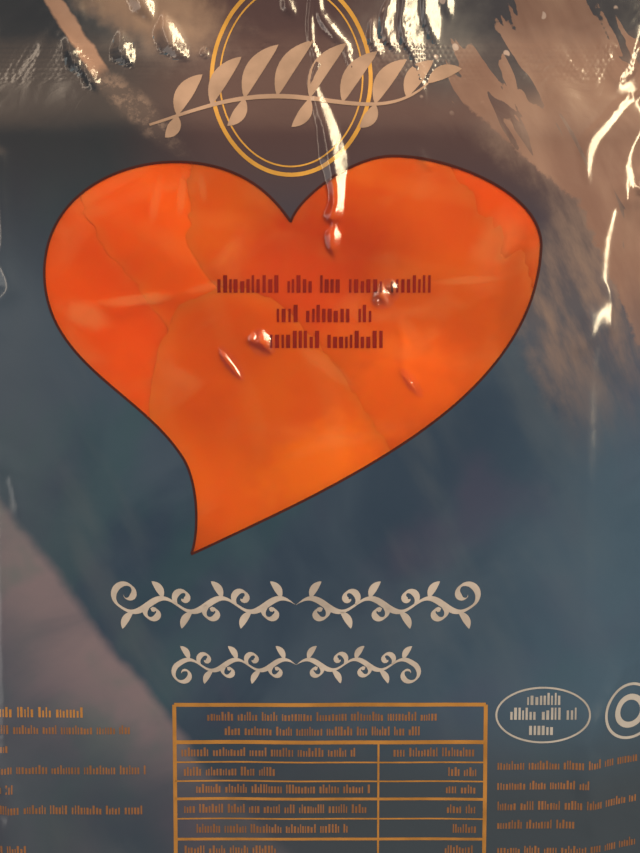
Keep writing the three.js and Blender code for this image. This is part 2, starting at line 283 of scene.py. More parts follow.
def bent(x, y, size, wavelength, seed):
    """The place shifted by ripples along X and along Y."""
    return x + size * ripples(x, y, wavelength, seed), y + size * ripples(x, y, wavelength, seed + 1)


def crumple(x, y, wavelength, seed):
    """Crests, each a sharp line, where ripples cross zero: one less the size of ripples, bent by slower
    ones."""
    return 1 - np.abs(ripples(*bent(x, y, 0.25 * wavelength, 1.8 * wavelength, seed + 1), wavelength, seed))


def scaled(shape, x, y, height, wavelength, seed):
    """Ripples or crumples of a given height."""
    return height * shape(x, y, wavelength, seed)


def distance_from_food(x, y):
    """Signed distance to the food's rounded rectangle, positive outside."""
    dx = np.abs(x) - FOOD_WIDTH / 2 + FOOD_CORNER
    dy = np.abs(y - FOOD_CENTRE_Y) - FOOD_LENGTH / 2 + FOOD_CORNER
    outside = np.hypot(np.maximum(dx, 0), np.maximum(dy, 0))
    return outside + np.minimum(np.maximum(dx, dy), 0) - FOOD_CORNER


def way_to_weld(x, y):
    """0 at the food's edge, 1 at the weld: the shares of the way to the side and to the end, taken
    together."""
    side = (np.abs(x) - FOOD_WIDTH / 2 - SHOULDER) / (WELD_SIDE - FOOD_WIDTH / 2 - SHOULDER)
    top = (y - FOOD_TOP - SHOULDER) / (WELD_TOP - FOOD_TOP - SHOULDER)
    bottom = (FOOD_BOTTOM - SHOULDER - y) / (FOOD_BOTTOM - SHOULDER - WELD_BOTTOM)
    corner = np.hypot(np.maximum(side, 0), np.maximum(np.maximum(top, bottom), 0))
    return np.clip(np.where(distance_from_food(x, y) > SHOULDER, corner, 0), 0, 1)


def level_height(x, y):
    """The film's height without folds: level over the food, then down to the rim, at first steeply: the
    share left of the way down is the cube of 1 less the share of the way out, times 1 more than three times
    it. The rim itself rises and falls by a sine wave along X times one along Y."""
    start = np.where(x > 0, np.interp(y, *np.transpose(RIGHT_FALL)), FOOD_WIDTH / 2 - FALL_START)
    side = (np.abs(x) - start) / (FALL_FOOT - start)
    top = (y - FOOD_TOP + FALL_START) / FALL_ENDS
    bottom = (FOOD_BOTTOM + FALL_START - y) / FALL_ENDS
    fall = np.clip(np.hypot(np.maximum(side, 0), np.maximum(np.maximum(top, bottom), 0)), 0, 1)
    rim = RIM_HEIGHT + RIM_WAVE * np.sin(x * 0.075 + 0.8) * np.cos(y * 0.062 - 0.5)
    return rim + (FRONT_Z - rim) * (1 - fall) ** 3 * (1 + 3 * fall)


def pleat(x, y):
    """Cosine of a phase that runs round the food unevenly."""
    along = np.where(np.abs(y - FOOD_CENTRE_Y) > FOOD_LENGTH / 2, x, y)
    swing, speed, start = PLEAT_SWING
    uneven = along + swing * np.sin(along * speed + start) + PLEAT_SLANT * (x + y)
    return np.cos(TURN * uneven / PLEAT_SPACING)


def skirt_height(x, y):
    """A squared half sine wave from the top weld to the pack's edge, with pleats, fading out at both
    sides."""
    past = (y - WELD_TOP - WELD_WIDTH) / (PACK_LENGTH / 2 - WELD_TOP - WELD_WIDTH)
    rise = np.sin(np.pi * np.clip(past, 0, 1)) ** 2 * smooth((PACK_WIDTH / 2 - np.abs(x)) / WELD_WIDTH)
    return SKIRT_LIFT * rise * (1 + PLEATS_IN_SKIRT * pleat(x, np.full_like(y, FOOD_TOP)))


def beside_route(x, y, route):
    """Distance to a route of straight stretches, the share of the way along it of the nearest point, and
    which hand the place lies on: 1 for the left one, -1 for the right."""
    stretches = np.hypot(*np.diff(np.array(route, float), axis=0).T)
    total = stretches.sum()
    nearest = np.full(x.shape, np.inf)
    share = np.zeros(x.shape)
    hand = np.ones(x.shape)
    before = 0
    for (x0, y0), (x1, y1), length in zip(route, route[1:], stretches):
        along = np.clip(((x - x0) * (x1 - x0) + (y - y0) * (y1 - y0)) / length ** 2, 0, 1)
        distance = np.hypot(x - x0 - along * (x1 - x0), y - y0 - along * (y1 - y0))
        left = np.where((y - y0) * (x1 - x0) - (x - x0) * (y1 - y0) > 0, 1, -1)
        closer = distance < nearest
        nearest = np.where(closer, distance, nearest)
        hand = np.where(closer, left, hand)
        share = np.where(closer, (before + along * length) / total, share)
        before += length
    return nearest, share, hand


def fold_height(x, y, route, height, half_width):
    """Height times the square of 1 less the distance to the route over the half width, with a rounded
    crest, eased out at both ends of the route."""
    nearest, share, _ = beside_route(x, y, route)
    fade = smooth(np.minimum(share, 1 - share) / FOLD_END)
    rounded = np.hypot(nearest, CREST_ROUNDING) - CREST_ROUNDING
    return height * fade * np.clip(1 - rounded / half_width, 0, 1) ** 2


def crease_height(x, y, other_share, route, falls):
    """Falls evenly across the tilted flank, whose middle is the route, and to the other hand of its
    crest."""
    height = np.zeros(x.shape)
    low, high = route[:, :2].min(0) - CREASE_REACH, route[:, :2].max(0) + CREASE_REACH
    close = (x > low[0]) & (x < high[0]) & (y > low[1]) & (y < high[1])
    nearest, share, hand = beside_route(x[close], y[close], route[:, :2])
    step = np.linspace(0, 1, len(route))
    reach, fall = np.interp(share, step, route[:, 2]), np.interp(share, step, falls)
    from_crest = hand * nearest * np.sign(fall) + reach / 2
    rounding = CREASE_ROUNDING[0] * min(1, 2 * other_share) * reach + CREASE_ROUNDING[1]
    rounded = np.hypot(from_crest, rounding) - rounding
    width = np.where(from_crest > 0, 1, other_share) * reach + NEARLY_ZERO
    height[close] = np.abs(fall) * reach * np.clip(1 - rounded / width, 0, 1)
    return height


def mirror_fall(points, fall_y, lamp):
    """How steeply a plane that falls towards +Y by a given amount must fall towards +X to mirror the lamp's
    line into the camera. Its normal lies halfway between the ways to the camera and to the lamp; the place
    along the lamp is found by halving its range."""
    to_camera = CAMERA_PLACE - points
    to_camera = to_camera / np.linalg.norm(to_camera, axis=1)[:, None]
    low, high = (np.full(len(points), float(end)) for end in LAMP_RANGE)
    for _ in range(LAMP_HALVINGS):
        along = (low + high) / 2
        lamp_points = np.stack([np.full(len(points), lamp[0]), along, np.full(len(points), lamp[1])], 1)
        to_lamp = lamp_points - points
        normal = to_camera + to_lamp / np.linalg.norm(to_lamp, axis=1)[:, None]
        too_far = normal[:, 1] / normal[:, 2] > fall_y
        low, high = np.where(too_far, low, along), np.where(too_far, along, high)
    return normal[:, 0] / normal[:, 2]


def plain_falls(x, y, reach=0.6):
    """How steeply the film without creases falls towards +X and +Y, over twice the reach."""
    fall_x = (folded_height(x - reach, y) - folded_height(x + reach, y)) / (2 * reach)
    fall_y = (folded_height(x, y - reach) - folded_height(x, y + reach)) / (2 * reach)
    return fall_x, fall_y


def looseness(x, y):
    """How loose the film lies: 0 where it clings to the fish, up to 1 at the top and less near the other
    sides."""
    ends = zip((y, np.abs(x), -y), LOOSE_ENDS)
    return np.maximum.reduce([most * smooth((out - start) / way) for out, (start, way, most) in ends])


def in_weld(x, y):
    """How deep a point lies in the knurled weld, in millimetres, negative outside it."""
    side = np.minimum(np.abs(x) - WELD_SIDE, WELD_SIDE + WELD_WIDTH - np.abs(x))
    side = np.minimum(side, y - WELD_BOTTOM + WELD_WIDTH)
    top = np.minimum(y - WELD_TOP, WELD_TOP + WELD_WIDTH - y)
    bottom = np.minimum(WELD_BOTTOM - y, y - WELD_BOTTOM + WELD_WIDTH)
    ends = np.minimum(np.maximum(top, bottom), WELD_SIDE + WELD_WIDTH - np.abs(x))
    return np.maximum(side, ends)


def fish_waves(x, y):
    """The slow uneven swell of the pressed fish."""
    return scaled(ripples, x, y, *FISH_SWELL)


def folded_height(x, y):
    """Front film without its sharp creases: the level height with pleats near the weld, soft folds,
    crumples where it is loose and slow waves."""
    slack = PLEAT_HEIGHT * np.sin(np.pi * way_to_weld(x, y)) ** 2 * pleat(x, y)
    near = bent(x, y, *FOLD_WANDER)
    folds = sum(fold_height(*near, *fold) for fold in FOLDS)
    loose = looseness(x, y)
    fine = loose * sum(scaled(crumple, x, y, *size) for size in LOOSE_CRUMPLES)
    waves = (1 - 0.6 * loose) * (fish_waves(x, y) + scaled(crumple, x, y, *CLINGING_CRUMPLE))
    return level_height(x, y) + slack + skirt_height(x, y) + folds + fine + waves


def pucker(x, y):
    """A round crumpled place: a dome broken up by sharp fine crests."""
    distance = np.hypot(x - PUCKER_PLACE[0], (y - PUCKER_PLACE[1]) * PUCKER_STRETCH) / PUCKER_RADIUS
    dome = np.clip(1 - distance ** 2, 0, 1) ** 2
    return PUCKER_HEIGHT * dome * (0.5 + 0.7 * crumple(x, y, *PUCKER_CRUMPLE))


def film_height(x, y):
    """Front film with its creases and its pucker."""
    near = bent(x, y, *CREASE_WANDER)
    creases = sum(crease_height(*near, *crease) for crease in TILTED_CREASES)
    return folded_height(x, y) + creases + pucker(x, y)


def tilted_crease(lamp, other_share, route):
    """The route at short even steps, and how steeply the flank must fall to the left of the way down at
    each so that it mirrors the lamp. The flank of a slanting crease also falls along Y, so that is found
    step by step."""
    route = resampled(np.array(route, float), CREASE_STEP)
    x, y = route[:, 0], route[:, 1]
    ahead = np.gradient(route[:, :2], axis=0)
    across = np.stack([-ahead[:, 1], ahead[:, 0]]) / np.hypot(*ahead.T)
    plain_x, plain_y = plain_falls(x, y)
    points = np.stack([x, y, folded_height(x, y)], 1)
    falls = np.zeros(len(route))
    for _ in range(TILT_STEPS):
        total_x = mirror_fall(points, plain_y + falls * across[1], lamp)
        falls = (total_x - plain_x) / np.maximum(across[0], CREASE_SLANT)
    return other_share, route, falls


def resampled(route, spacing):
    """The same route with even spacing between its points, whatever else is kept at each of them."""
    length = np.concatenate([[0], np.cumsum(np.hypot(*np.diff(route[:, :2], axis=0).T))])
    even = np.linspace(0, length[-1], int(length[-1] / spacing) + 2)
    return np.stack([np.interp(even, length, column) for column in route.T], 1)


TILTED_CREASES = [tilted_crease(*flanks, route) for flanks, routes in CREASES.items() for route in routes]


def back_height(x, y):
    """Back film: flat under the fish, rising to lie against the front film at the weld. Past the top weld
    it hangs below the front film of the skirt."""
    against = film_height(x, y) - FILM_THICKNESS - SKIRT_GAP * skirt_height(x, y)
    return smooth(way_to_weld(x, y)) * np.maximum(against, 0)


# ---------------------------------------------------------------- slices

def slice_reach(cut, angle):
    """Distance from the slice's centre to its edge: a flared superellipse, trimmed softly at the food's
    edge, with a torn edge of three sizes of ripple added."""
    cos, sin = np.cos(angle), np.sin(angle)
    along = np.cos(angle - np.radians(cut["turn"]))
    across = np.sin(angle - np.radians(cut["turn"])) / (1 - cut["flare"] * along)
    own = (np.abs(along) / cut["half_length"]) ** cut["squareness"]
    own = own + (np.abs(across) / cut["half_width"]) ** cut["squareness"]
    reaches = [own ** (-1 / cut["squareness"])]
    to_side = np.sign(cos) * FOOD_WIDTH / 2 - cut["x"]
    to_end = np.where(sin > 0, FOOD_TOP, FOOD_BOTTOM) - cut["y"]
    for way, part in ((to_side, cos), (to_end, sin)):
        reaches.append(np.abs(way / np.where(np.abs(part) < NEARLY_ZERO, NEARLY_ZERO, part)))
    reach = sum(reach ** -TRIM_SHARPNESS for reach in reaches) ** (-1 / TRIM_SHARPNESS) - EDGE_GAP
    torn = sum(scaled(ripples, reach * cos, reach * sin, *size, 200 + cut["turn"] + number)
               for number, size in enumerate(TORN_RIPPLES))
    return reach + cut["tear"] * np.minimum(torn - TORN_LEVEL, 0)


def cover(cut, x, y):
    """How much of a slice's thickness lies at a point: 1 well inside its edge, 0 outside it."""
    angle = np.arctan2(y - cut["y"], x - cut["x"])
    inside = slice_reach(cut, angle) - np.hypot(x - cut["x"], y - cut["y"])
    return np.clip(inside / EDGE_EASE_IN, 0, 1)


def layer_heights(index, x, y):
    """Bottom and top of a slice: at each point the slices share the pressed height by their covers."""
    share = [cover(cut, x, y) for cut in SLICES]
    total = np.maximum(sum(share), 1)
    pressed = level_height(x, y) + fish_waves(x, y) - FILM_TO_FISH - TRAY_Z
    bottom = TRAY_Z + pressed * sum(share[:index], np.zeros(x.shape)) / total
    top = TRAY_Z + pressed * sum(share[:index + 1]) / total
    return bottom, top


# ---------------------------------------------------------------- meshes

def new_mesh(name, points, faces):
    """A mesh of points in millimetres, and of faces that all have the same number of corners."""
    mesh = bpy.data.meshes.new(name)
    points = np.ascontiguousarray(points, np.float32).reshape(-1, 3) * MM
    faces = np.ascontiguousarray(faces, np.int32)
    count, corners = faces.shape
    mesh.vertices.add(len(points))
    mesh.vertices.foreach_set("co", points.astype(np.float32).ravel())
    mesh.loops.add(count * corners)
    mesh.loops.foreach_set("vertex_index", faces.ravel())
    mesh.polygons.add(count)
    mesh.polygons.foreach_set("loop_start", np.arange(count, dtype=np.int32) * corners)
    mesh.polygons.foreach_set("loop_total", np.full(count, corners, np.int32))
    mesh.update(calc_edges=True)
    mesh.shade_smooth()
    return mesh


def new_object(name, data):
    """An object of the data, put into the scene."""
    made = bpy.data.objects.new(name, data)
    bpy.context.scene.collection.objects.link(made)
    return made


def add_piece(name, points, faces, material, slot):
    """Makes a piece of the pack that rides on its one body."""
    piece = new_object(name, new_mesh(name, points, faces))
    piece.data.materials.append(material)
    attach(piece, "root")
    return piece


def two_triangles(a, b, c, d):
    """Cells of four corners, all cut along the same diagonal; first every lower triangle, then every upper
    one."""
    return np.concatenate([np.stack(corners, -1).reshape(-1, 3) for corners in ((a, b, c), (a, c, d))])


def grid_triangles(columns, rows):
    """The triangles of a grid whose points are kept row by row."""
    index = np.arange((rows + 1) * (columns + 1)).reshape(rows + 1, columns + 1)
    return two_triangles(index[:-1, :-1], index[:-1, 1:], index[1:, 1:], index[1:, :-1])


def spaced(half_length, count, dense):
    """Lines from end to end, at even steps of a summed density that is raised round the dense places."""
    places = np.linspace(-half_length, half_length, DENSITY_SAMPLES)
    density = 1 + sum(gain * smooth(1 - np.abs(places - middle) / reach) for middle, reach, gain in dense)
    passed = np.concatenate([[0], np.cumsum((density[1:] + density[:-1]) / 2)])
    return np.interp(np.linspace(0, passed[-1], count + 1), passed, places)


def pack_grid(columns, rows):
    """A grid over the pack whose corner blocks are squeezed into quarter discs by the square-to-disc
    mapping."""
    x, y = np.meshgrid(spaced(PACK_WIDTH / 2, columns, DENSE_X), spaced(PACK_LENGTH / 2, rows, DENSE_Y))
    u = np.clip((np.abs(x) - PACK_WIDTH / 2) / CORNER_RADIUS + 1, 0, 1)
    v = np.clip((np.abs(y) - PACK_LENGTH / 2) / CORNER_RADIUS + 1, 0, 1)
    x = x + np.sign(x) * CORNER_RADIUS * u * (np.sqrt(1 - v * v / 2) - 1)
    y = y + np.sign(y) * CORNER_RADIUS * v * (np.sqrt(1 - u * u / 2) - 1)
    return x.ravel(), y.ravel()


def heart_outline():
    """Points round the window, each curve of it a cubic Bezier curve."""
    t = (np.arange(CURVE_STEPS) / CURVE_STEPS)[:, None]
    points = []
    start = np.array(NOTCH)
    for first, second, end in HEART_CURVES:
        first, second, end = np.array(first), np.array(second), np.array(end)
        near = (1 - t) ** 3 * start + 3 * (1 - t) ** 2 * t * first
        points.append(near + 3 * (1 - t) * t * t * second + t ** 3 * end)
        start = end
    return np.concatenate(points)


OUTLINE = heart_outline()


def inside_heart(x, y):
    """Whether a ray to the right crosses the outline an odd number of times."""
    ax, ay = OUTLINE.T
    bx, by = np.roll(OUTLINE, -1, axis=0).T
    x, y = x[:, None], y[:, None]
    spans = (ay > y) != (by > y)
    crossing = ax + (y - ay) / np.where(by == ay, NEARLY_ZERO, by - ay) * (bx - ax)
    return (np.sum(spans & (x < crossing), axis=1) % 2).astype(bool)


def nearest_on_heart(x, y):
    """The nearest point on the outline, over all its straight bits."""
    a = OUTLINE
    step = np.roll(OUTLINE, -1, axis=0) - a
    along = ((x[:, None] - a[:, 0]) * step[:, 0] + (y[:, None] - a[:, 1]) * step[:, 1]) / (step ** 2).sum(1)
    along = np.clip(along, 0, 1)
    near_x = a[:, 0] + along * step[:, 0]
    near_y = a[:, 1] + along * step[:, 1]
    best = np.argmin((near_x - x[:, None]) ** 2 + (near_y - y[:, None]) ** 2, axis=1)
    row = np.arange(len(x))
    return near_x[row, best], near_y[row, best]


def film_points():
    """The film's grid, with the nearer end of each edge that crosses the window's outline moved onto it."""
    x, y = pack_grid(FILM_COLUMNS, FILM_ROWS)
    low, high = OUTLINE.min(0) - OUTLINE_MARGIN, OUTLINE.max(0) + OUTLINE_MARGIN
    close = np.flatnonzero((x > low[0]) & (x < high[0]) & (y > low[1]) & (y < high[1]))
    near_x, near_y = nearest_on_heart(x[close], y[close])
    distance = np.full(len(x), np.inf)
    distance[close] = np.hypot(near_x - x[close], near_y - y[close])
    distance[close] *= np.where(inside_heart(x[close], y[close]), -1, 1)
    target = np.stack([x, y])
    target[:, close] = near_x, near_y
    triangles = grid_triangles(FILM_COLUMNS, FILM_ROWS)
    edges = np.concatenate([triangles[:, [0, 1]], triangles[:, [1, 2]], triangles[:, [2, 0]]])
    crossed = edges[distance[edges[:, 0]] * distance[edges[:, 1]] < 0]
    first_nearer = np.abs(distance[crossed[:, 0]]) <= np.abs(distance[crossed[:, 1]])
    moved = np.unique(np.where(first_nearer, crossed[:, 0], crossed[:, 1]))
    x[moved], y[moved] = target[:, moved]
    for corner in (NOTCH, HEART_TIP):
        nearest = np.argmin(np.hypot(x - corner[0], y - corner[1]))
        x[nearest], y[nearest] = corner
    return x, y, triangles


def used_only(points, faces):
    """Drops the points that no face uses."""
    kept, corners = np.unique(faces, return_inverse=True)
    return points[kept], corners.reshape(faces.shape)


def joined(shapes):
    """Several shapes, each of them points and faces, as one."""
    points, faces, offset = [], [], 0
    for shape_points, shape_faces in shapes:
        points.append(shape_points)
        faces.append(shape_faces + offset)
        offset += len(shape_points)
    return np.concatenate(points), np.concatenate(faces)


def knurled(points, cells, name, material):
    """Cells of the weld cut into smaller ones, raised into staggered domes that fade out at the weld's
    border."""
    step = np.linspace(0, 1, KNURL_PARTS + 1)
    u, v = (part.ravel()[:, None] for part in np.meshgrid(step, step))
    a, b, c, d = (points[corner][:, None, :] for corner in cells.T)
    fine = np.where(u >= v, a + u * (b - a) + v * (c - b), a + v * (d - a) + u * (c - d))
    local = grid_triangles(KNURL_PARTS, KNURL_PARTS)
    faces = (local[None] + np.arange(len(cells))[:, None, None] * fine.shape[1]).reshape(-1, 3)
    flat = fine.reshape(-1, 3)
    keys = np.round(flat[:, :2] * 1e3).astype(np.int64)
    _, first, merged = np.unique(keys, axis=0, return_index=True, return_inverse=True)
    flat = flat[first]
    across = flat[:, 0] / KNURL_PITCH[0]
    up = flat[:, 1] / KNURL_PITCH[1]
    stagger = 0.5 * (np.floor(up) % 2)
    from_dot = np.hypot((across + stagger) % 1 - 0.5, up % 1 - 0.5) / KNURL_DOT
    fade = smooth((in_weld(flat[:, 0], flat[:, 1]) - KNURL_BORDER) / KNURL_BORDER)
    deep = smooth(1 - np.abs(flat[:, 0] - KNURL_DEEP_X) / KNURL_DEEP_REACH) * (flat[:, 1] > 0)
    flat[:, 2] += (KNURL_DEPTH + KNURL_DEEPER * deep) * fade * np.clip(1 - from_dot ** 2, 0, 1)
    add_piece(name, flat, merged.ravel()[faces], material, "printed_film")


def make_films(printed, clear, back):
    """Front film, window, knurled weld and back film. Returns the whole front as one surface to drape print
    on."""
    x, y, triangles = film_points()
    points = np.stack([x, y, film_height(x, y)], 1)
    centre = points[triangles].mean(1)
    window = inside_heart(centre[:, 0], centre[:, 1])
    lower, top_with_painted_haze = np.split(triangles, 2)
    cells = np.concatenate([lower, top_with_painted_haze[:, 2:]], 1)
    middle = points[cells].mean(1)
    welded = in_weld(middle[:, 0], middle[:, 1]) > 0
    plain = ~window & ~np.tile(welded, 2)
    front = add_piece("front_film", *used_only(points, triangles[plain]), printed, "printed_film")
    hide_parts("pouch")
    glass = add_piece("window_film", *used_only(points, triangles[window]), clear, "clear_film")
    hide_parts("window")
    at_side = np.abs(middle[:, 0]) > WELD_SIDE
    knurled(points, cells[welded & at_side], "weld_sides", printed)
    knurled(points, cells[welded & ~at_side], "weld_ends", printed)
    make_crinkles(clear)
    make_back_film(back)
    return new_object("whole_front", new_mesh("whole_front", points, triangles))


def make_crinkles(material):
    """Fine grids of clear film just above the window: the film's height, raised by a thin crumple that
    fades out towards each spot's elliptical border, where the grid is cut off."""
    spots = []
    for (middle_x, middle_y), half_length, half_width, turn in CRINKLES:
        half = int(half_length / CRINKLE_CELL) + 1
        along, across = (part.ravel() * CRINKLE_CELL for part in np.mgrid[-half:half + 1, -half:half + 1])
        cos, sin = np.cos(np.radians(turn)), np.sin(np.radians(turn))
        x = middle_x + along * cos - across * sin
        y = middle_y + along * sin + across * cos
        out = np.hypot(along / half_length, across / half_width)
        raised = CRINKLE_LIFT + (1 - smooth(out)) * scaled(crumple, x, y, *CRINKLE_CRUMPLE)
        cells = grid_triangles(2 * half, 2 * half)[:, ::-1]
        cells = cells[out[cells].max(1) < 1]
        spots.append(used_only(np.stack([x, y, film_height(x, y) + raised], 1), cells))
    add_piece("window_crinkles", *joined(spots), material, "clear_film")


def make_back_film(material):
    """The back film on a grid of double cells, and the pouch's edge as a strip between the two films."""
    x, y = pack_grid(FILM_COLUMNS // 2, FILM_ROWS // 2)
    back = np.stack([x, y, back_height(x, y)], 1), grid_triangles(FILM_COLUMNS // 2, FILM_ROWS // 2)[:, ::-1]
    x, y = pack_grid(FILM_COLUMNS, FILM_ROWS)
    index = np.arange(len(x)).reshape(FILM_ROWS + 1, FILM_COLUMNS + 1)
    ring = np.concatenate([index[0, :-1], index[:-1, -1], index[-1, :0:-1], index[:0:-1, 0]])
    x, y = x[ring], y[ring]
    rims = np.concatenate([np.stack([x, y, film_height(x, y)], 1), np.stack([x, y, back_height(x, y)], 1)])
    a = np.arange(len(ring))
    b = np.roll(a, -1)
    strip = rims, two_triangles(a + len(ring), b + len(ring), b, a)
    add_piece("back_film", *joined([back, strip]), material, "printed_film")


def make_slice(index, material):
    """A slice as a top and a bottom sheet on rings round its centre. It thins out towards its edge."""
    cut = SLICES[index]
    angle = np.arange(SLICE_ANGLES) / SLICE_ANGLES * TURN
    ring = 1 - (1 - np.linspace(0, 1, SLICE_RINGS + 1)[1:]) ** RING_CROWDING
    reach = slice_reach(cut, angle)
    out = ring[:, None] * reach
    x = np.append(cut["x"] + out * np.cos(angle), cut["x"])
    y = np.append(cut["y"] + out * np.sin(angle), cut["y"])
    inside = np.append(reach - out, HUB_DEPTH)
    ids = np.arange(SLICE_RINGS * SLICE_ANGLES).reshape(SLICE_RINGS, SLICE_ANGLES)
    following = np.roll(ids, -1, axis=1)
    a, b, c, d = ids[:-1], ids[1:], following[1:], following[:-1]
    fan = np.stack([np.full(SLICE_ANGLES, len(x) - 1), ids[0], following[0]], -1)
    sheet = np.concatenate([two_triangles(a, b, c, d), fan])
    bottom, top = layer_heights(index, x, y)
    shape = joined([(np.stack([x, y, top], 1), sheet), (np.stack([x, y, bottom], 1), sheet[:, ::-1])])
    piece = add_piece(f"slice_{index + 1}", *shape, material, "salmon")
    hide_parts(f"salmon_slice_{index + 1}")
    from_edge = piece.data.attributes.new("from_edge", "FLOAT", "POINT")
    from_edge.data.foreach_set("value", np.tile(inside, 2).astype(np.float32))


# ---------------------------------------------------------------- print

# Lines across the table: Y and width
TABLE_ACROSS = [(-37.5, 0.7), (-44.4, 0.7), (-71.0, 0.7), (-54.9, 0.5), (-62.4, 0.5),
                (-48.1, 0.28), (-51.6, 0.28), (-58.6, 0.28), (-66.6, 0.28)]
# Its upright lines: X, the Y they start from, and width
TABLE_UPRIGHTS = [(-21.3, -37.5, 0.7), (34.5, -37.5, 0.7), (15.3, -44.4, 0.35)]
# The table's rows: Y, both ends of the marks on the left, and the left end of those on the right
TABLE_ROWS = [(-46.4, -20.1, 11.5, 18.0), (-50.0, -19.7, -3.3, 27.9), (-53.2, -17.5, 13.9, 27.5),
              (-56.9, -19.7, 14.2, 27.7), (-60.6, -17.5, 10.2, 28.8), (-64.6, -19.7, -2.9, 27.4),
              (-68.9, -19.7, 4.1, 27.8)]
VALUES_END = 33.2
# Other rows of marks: left end, right end and Y
HEAD_ROWS = [(-15.4, 26.0, -39.8), (-12.3, 22.9, -42.5)]
LEFT_ROWS = [(-62, -29.3, -42.3), (-62, -50.9, -45.8), (-62, -26.3, -49.7), (-62, -50.2, -53.3),
             (-62, -26.4, -57.1), (-62, -48.1, -64.7), (-62, -32.2, -68.1)]
RIGHT_ROWS = [(36.7, 63, -48.8), (36.7, 53.4, -52.5), (36.8, 63, -56.3), (36.8, 51.7, -59.8),
              (36.9, 63, -64.7), (36.9, 58.7, -68.5)]
HEADING_ROWS = [(-62, -37.5, -39.1)]
DATE_ROWS = [(-13.0, 25.5, 37.0), (-2.7, 14.2, 31.9), (-3.9, 16.5, 27.4)]
OVAL_ROWS = [(41.9, 48.2, -36.7), (38.9, 51.1, -39.4), (42.3, 47.8, -42.2)]
# A mark's width and height as shares of its row's height, and how many marks stand close together
MARK_WIDTHS = [0.18, 0.24, 0.3]
MARK_HEIGHTS = [0.85, 1.0, 1.0, 1.3]
MARK_GROUP = (4, 12)
MARK_GAP = (0.14, 0.22)
GROUP_GAP = 0.5
# Rings: centre, half length, half width and line width
OVAL = [((44.8, -39.4), 8.4, 5.0, 0.34)]
ROUND_RINGS = [((61.3, -39.8), 5.0, 5.0, 0.5), ((61.3, -39.8), 2.6, 2.6, 1.1)]
CARTOUCHE_RINGS = [((-0.2, 73.2), 13.8, 17.2, 0.7), ((-0.2, 73.2), 12.4, 15.8, 0.28)]
# Vines: left end, right end, Y of the base, height and number of half waves
VINES = [(-34.8, 35.8, -21.6, 5.0, 12), (-23.7, 24.8, -32.0, 4.0, 10)]
SPRIG = [(-24.5, 64.5), (-12, 68.5), (0, 69.5), (12, 68.2), (23.5, 72.0)]  # a leafy stem across the rings
WINDOW_EDGE = 0.21
LINE_STEP = 0.5
RING_STEP = 0.4
PEN_TAPER = 0.06
PRINT_START_Z = 30
PRINT_LIFT = 0.05


def ribbon(route, half_width, closed=False):
    """A flat strip along a route: its points, and those shifted to both sides along the normal by the half
    width."""
    route = np.asarray(route, float)
    if closed:
        ahead = np.roll(route, -1, axis=0) - np.roll(route, 1, axis=0)
    else:
        ahead = np.gradient(route, axis=0)
    ahead = ahead / np.maximum(np.hypot(*ahead.T), NEARLY_ZERO)[:, None]
    normal = np.stack([ahead[:, 1], -ahead[:, 0]], 1)
    across = np.array([-1, 0, 1])
    half_width = np.broadcast_to(half_width, len(route))
    points = route[:, None, :] + (normal * half_width[:, None])[:, None, :] * across[None, :, None]
    index = np.arange(len(route) * 3).reshape(len(route), 3)
    following = np.roll(index, -1, axis=0)
    if not closed:
        index, following = index[:-1], following[:-1]
    quads = np.stack([index[:, :-1], index[:, 1:], following[:, 1:], following[:, :-1]], -1).reshape(-1, 4)
    return points.reshape(-1, 2), quads


def line(x0, y0, x1, y1, width):
    """A straight strip with a point at each short even step."""
    count = max(int(np.hypot(x1 - x0, y1 - y0) / LINE_STEP), 2)
    t = np.linspace(0, 1, count + 1)[:, None]
    return ribbon(np.array([x0, y0]) + t * np.array([x1 - x0, y1 - y0]), width / 2)


def ellipse(centre, half_x, half_y, width):
    """A closed strip: its middle line is one half width times the cosine along X, the other times the sine
    along Y."""
    count = int(TURN * max(half_x, half_y) / RING_STEP)
    angle = np.arange(count) / count * TURN
    route = np.stack([centre[0] + half_x * np.cos(angle), centre[1] + half_y * np.sin(angle)], 1)
    return ribbon(route, width / 2, closed=True)


def rings(sizes):
    """An ellipse for each row of sizes."""
    return [ellipse(*size) for size in sizes]


def table_lines():
    """The lines across run between the first two uprights, and every upright ends at the lowest of them."""
    (left, _, _), (right, _, _), _ = TABLE_UPRIGHTS
    bottom = min(y for y, _ in TABLE_ACROSS)
    across = [line(left, y, right, y, width) for y, width in TABLE_ACROSS]
    return across + [line(x, start, x, bottom, width) for x, start, width in TABLE_UPRIGHTS]


def marks_row(x0, x1, y, tall, draw):
    """A row of close narrow upright marks, in groups with gaps between them."""
    centres, halves = [], []
    x = x0
    in_group = draw.integers(*MARK_GROUP)
    while x < x1 - 0.2 * tall:
        width = tall * draw.choice(MARK_WIDTHS)
        height = tall * draw.choice(MARK_HEIGHTS)
        centres.append((x + width / 2, y + (height - tall) / 2))
        halves.append((width / 2, height / 2))
        x += width + tall * draw.uniform(*MARK_GAP)
        in_group -= 1
        if in_group == 0:
            x += GROUP_GAP * tall
            in_group = draw.integers(*MARK_GROUP)
    corners = np.array([(-1, -1), (1, -1), (1, 1), (-1, 1)])
    points = np.array(centres)[:, None, :] + corners * np.array(halves)[:, None, :]
    return points.reshape(-1, 2), np.arange(len(points) * 4).reshape(-1, 4)


def rows_of_marks(rows, tall, seed):
    """Rows of marks of one height, all drawn with one seed."""
    draw = np.random.default_rng(seed)
    return joined([marks_row(x0, x1, y, tall, draw) for x0, x1, y in rows])


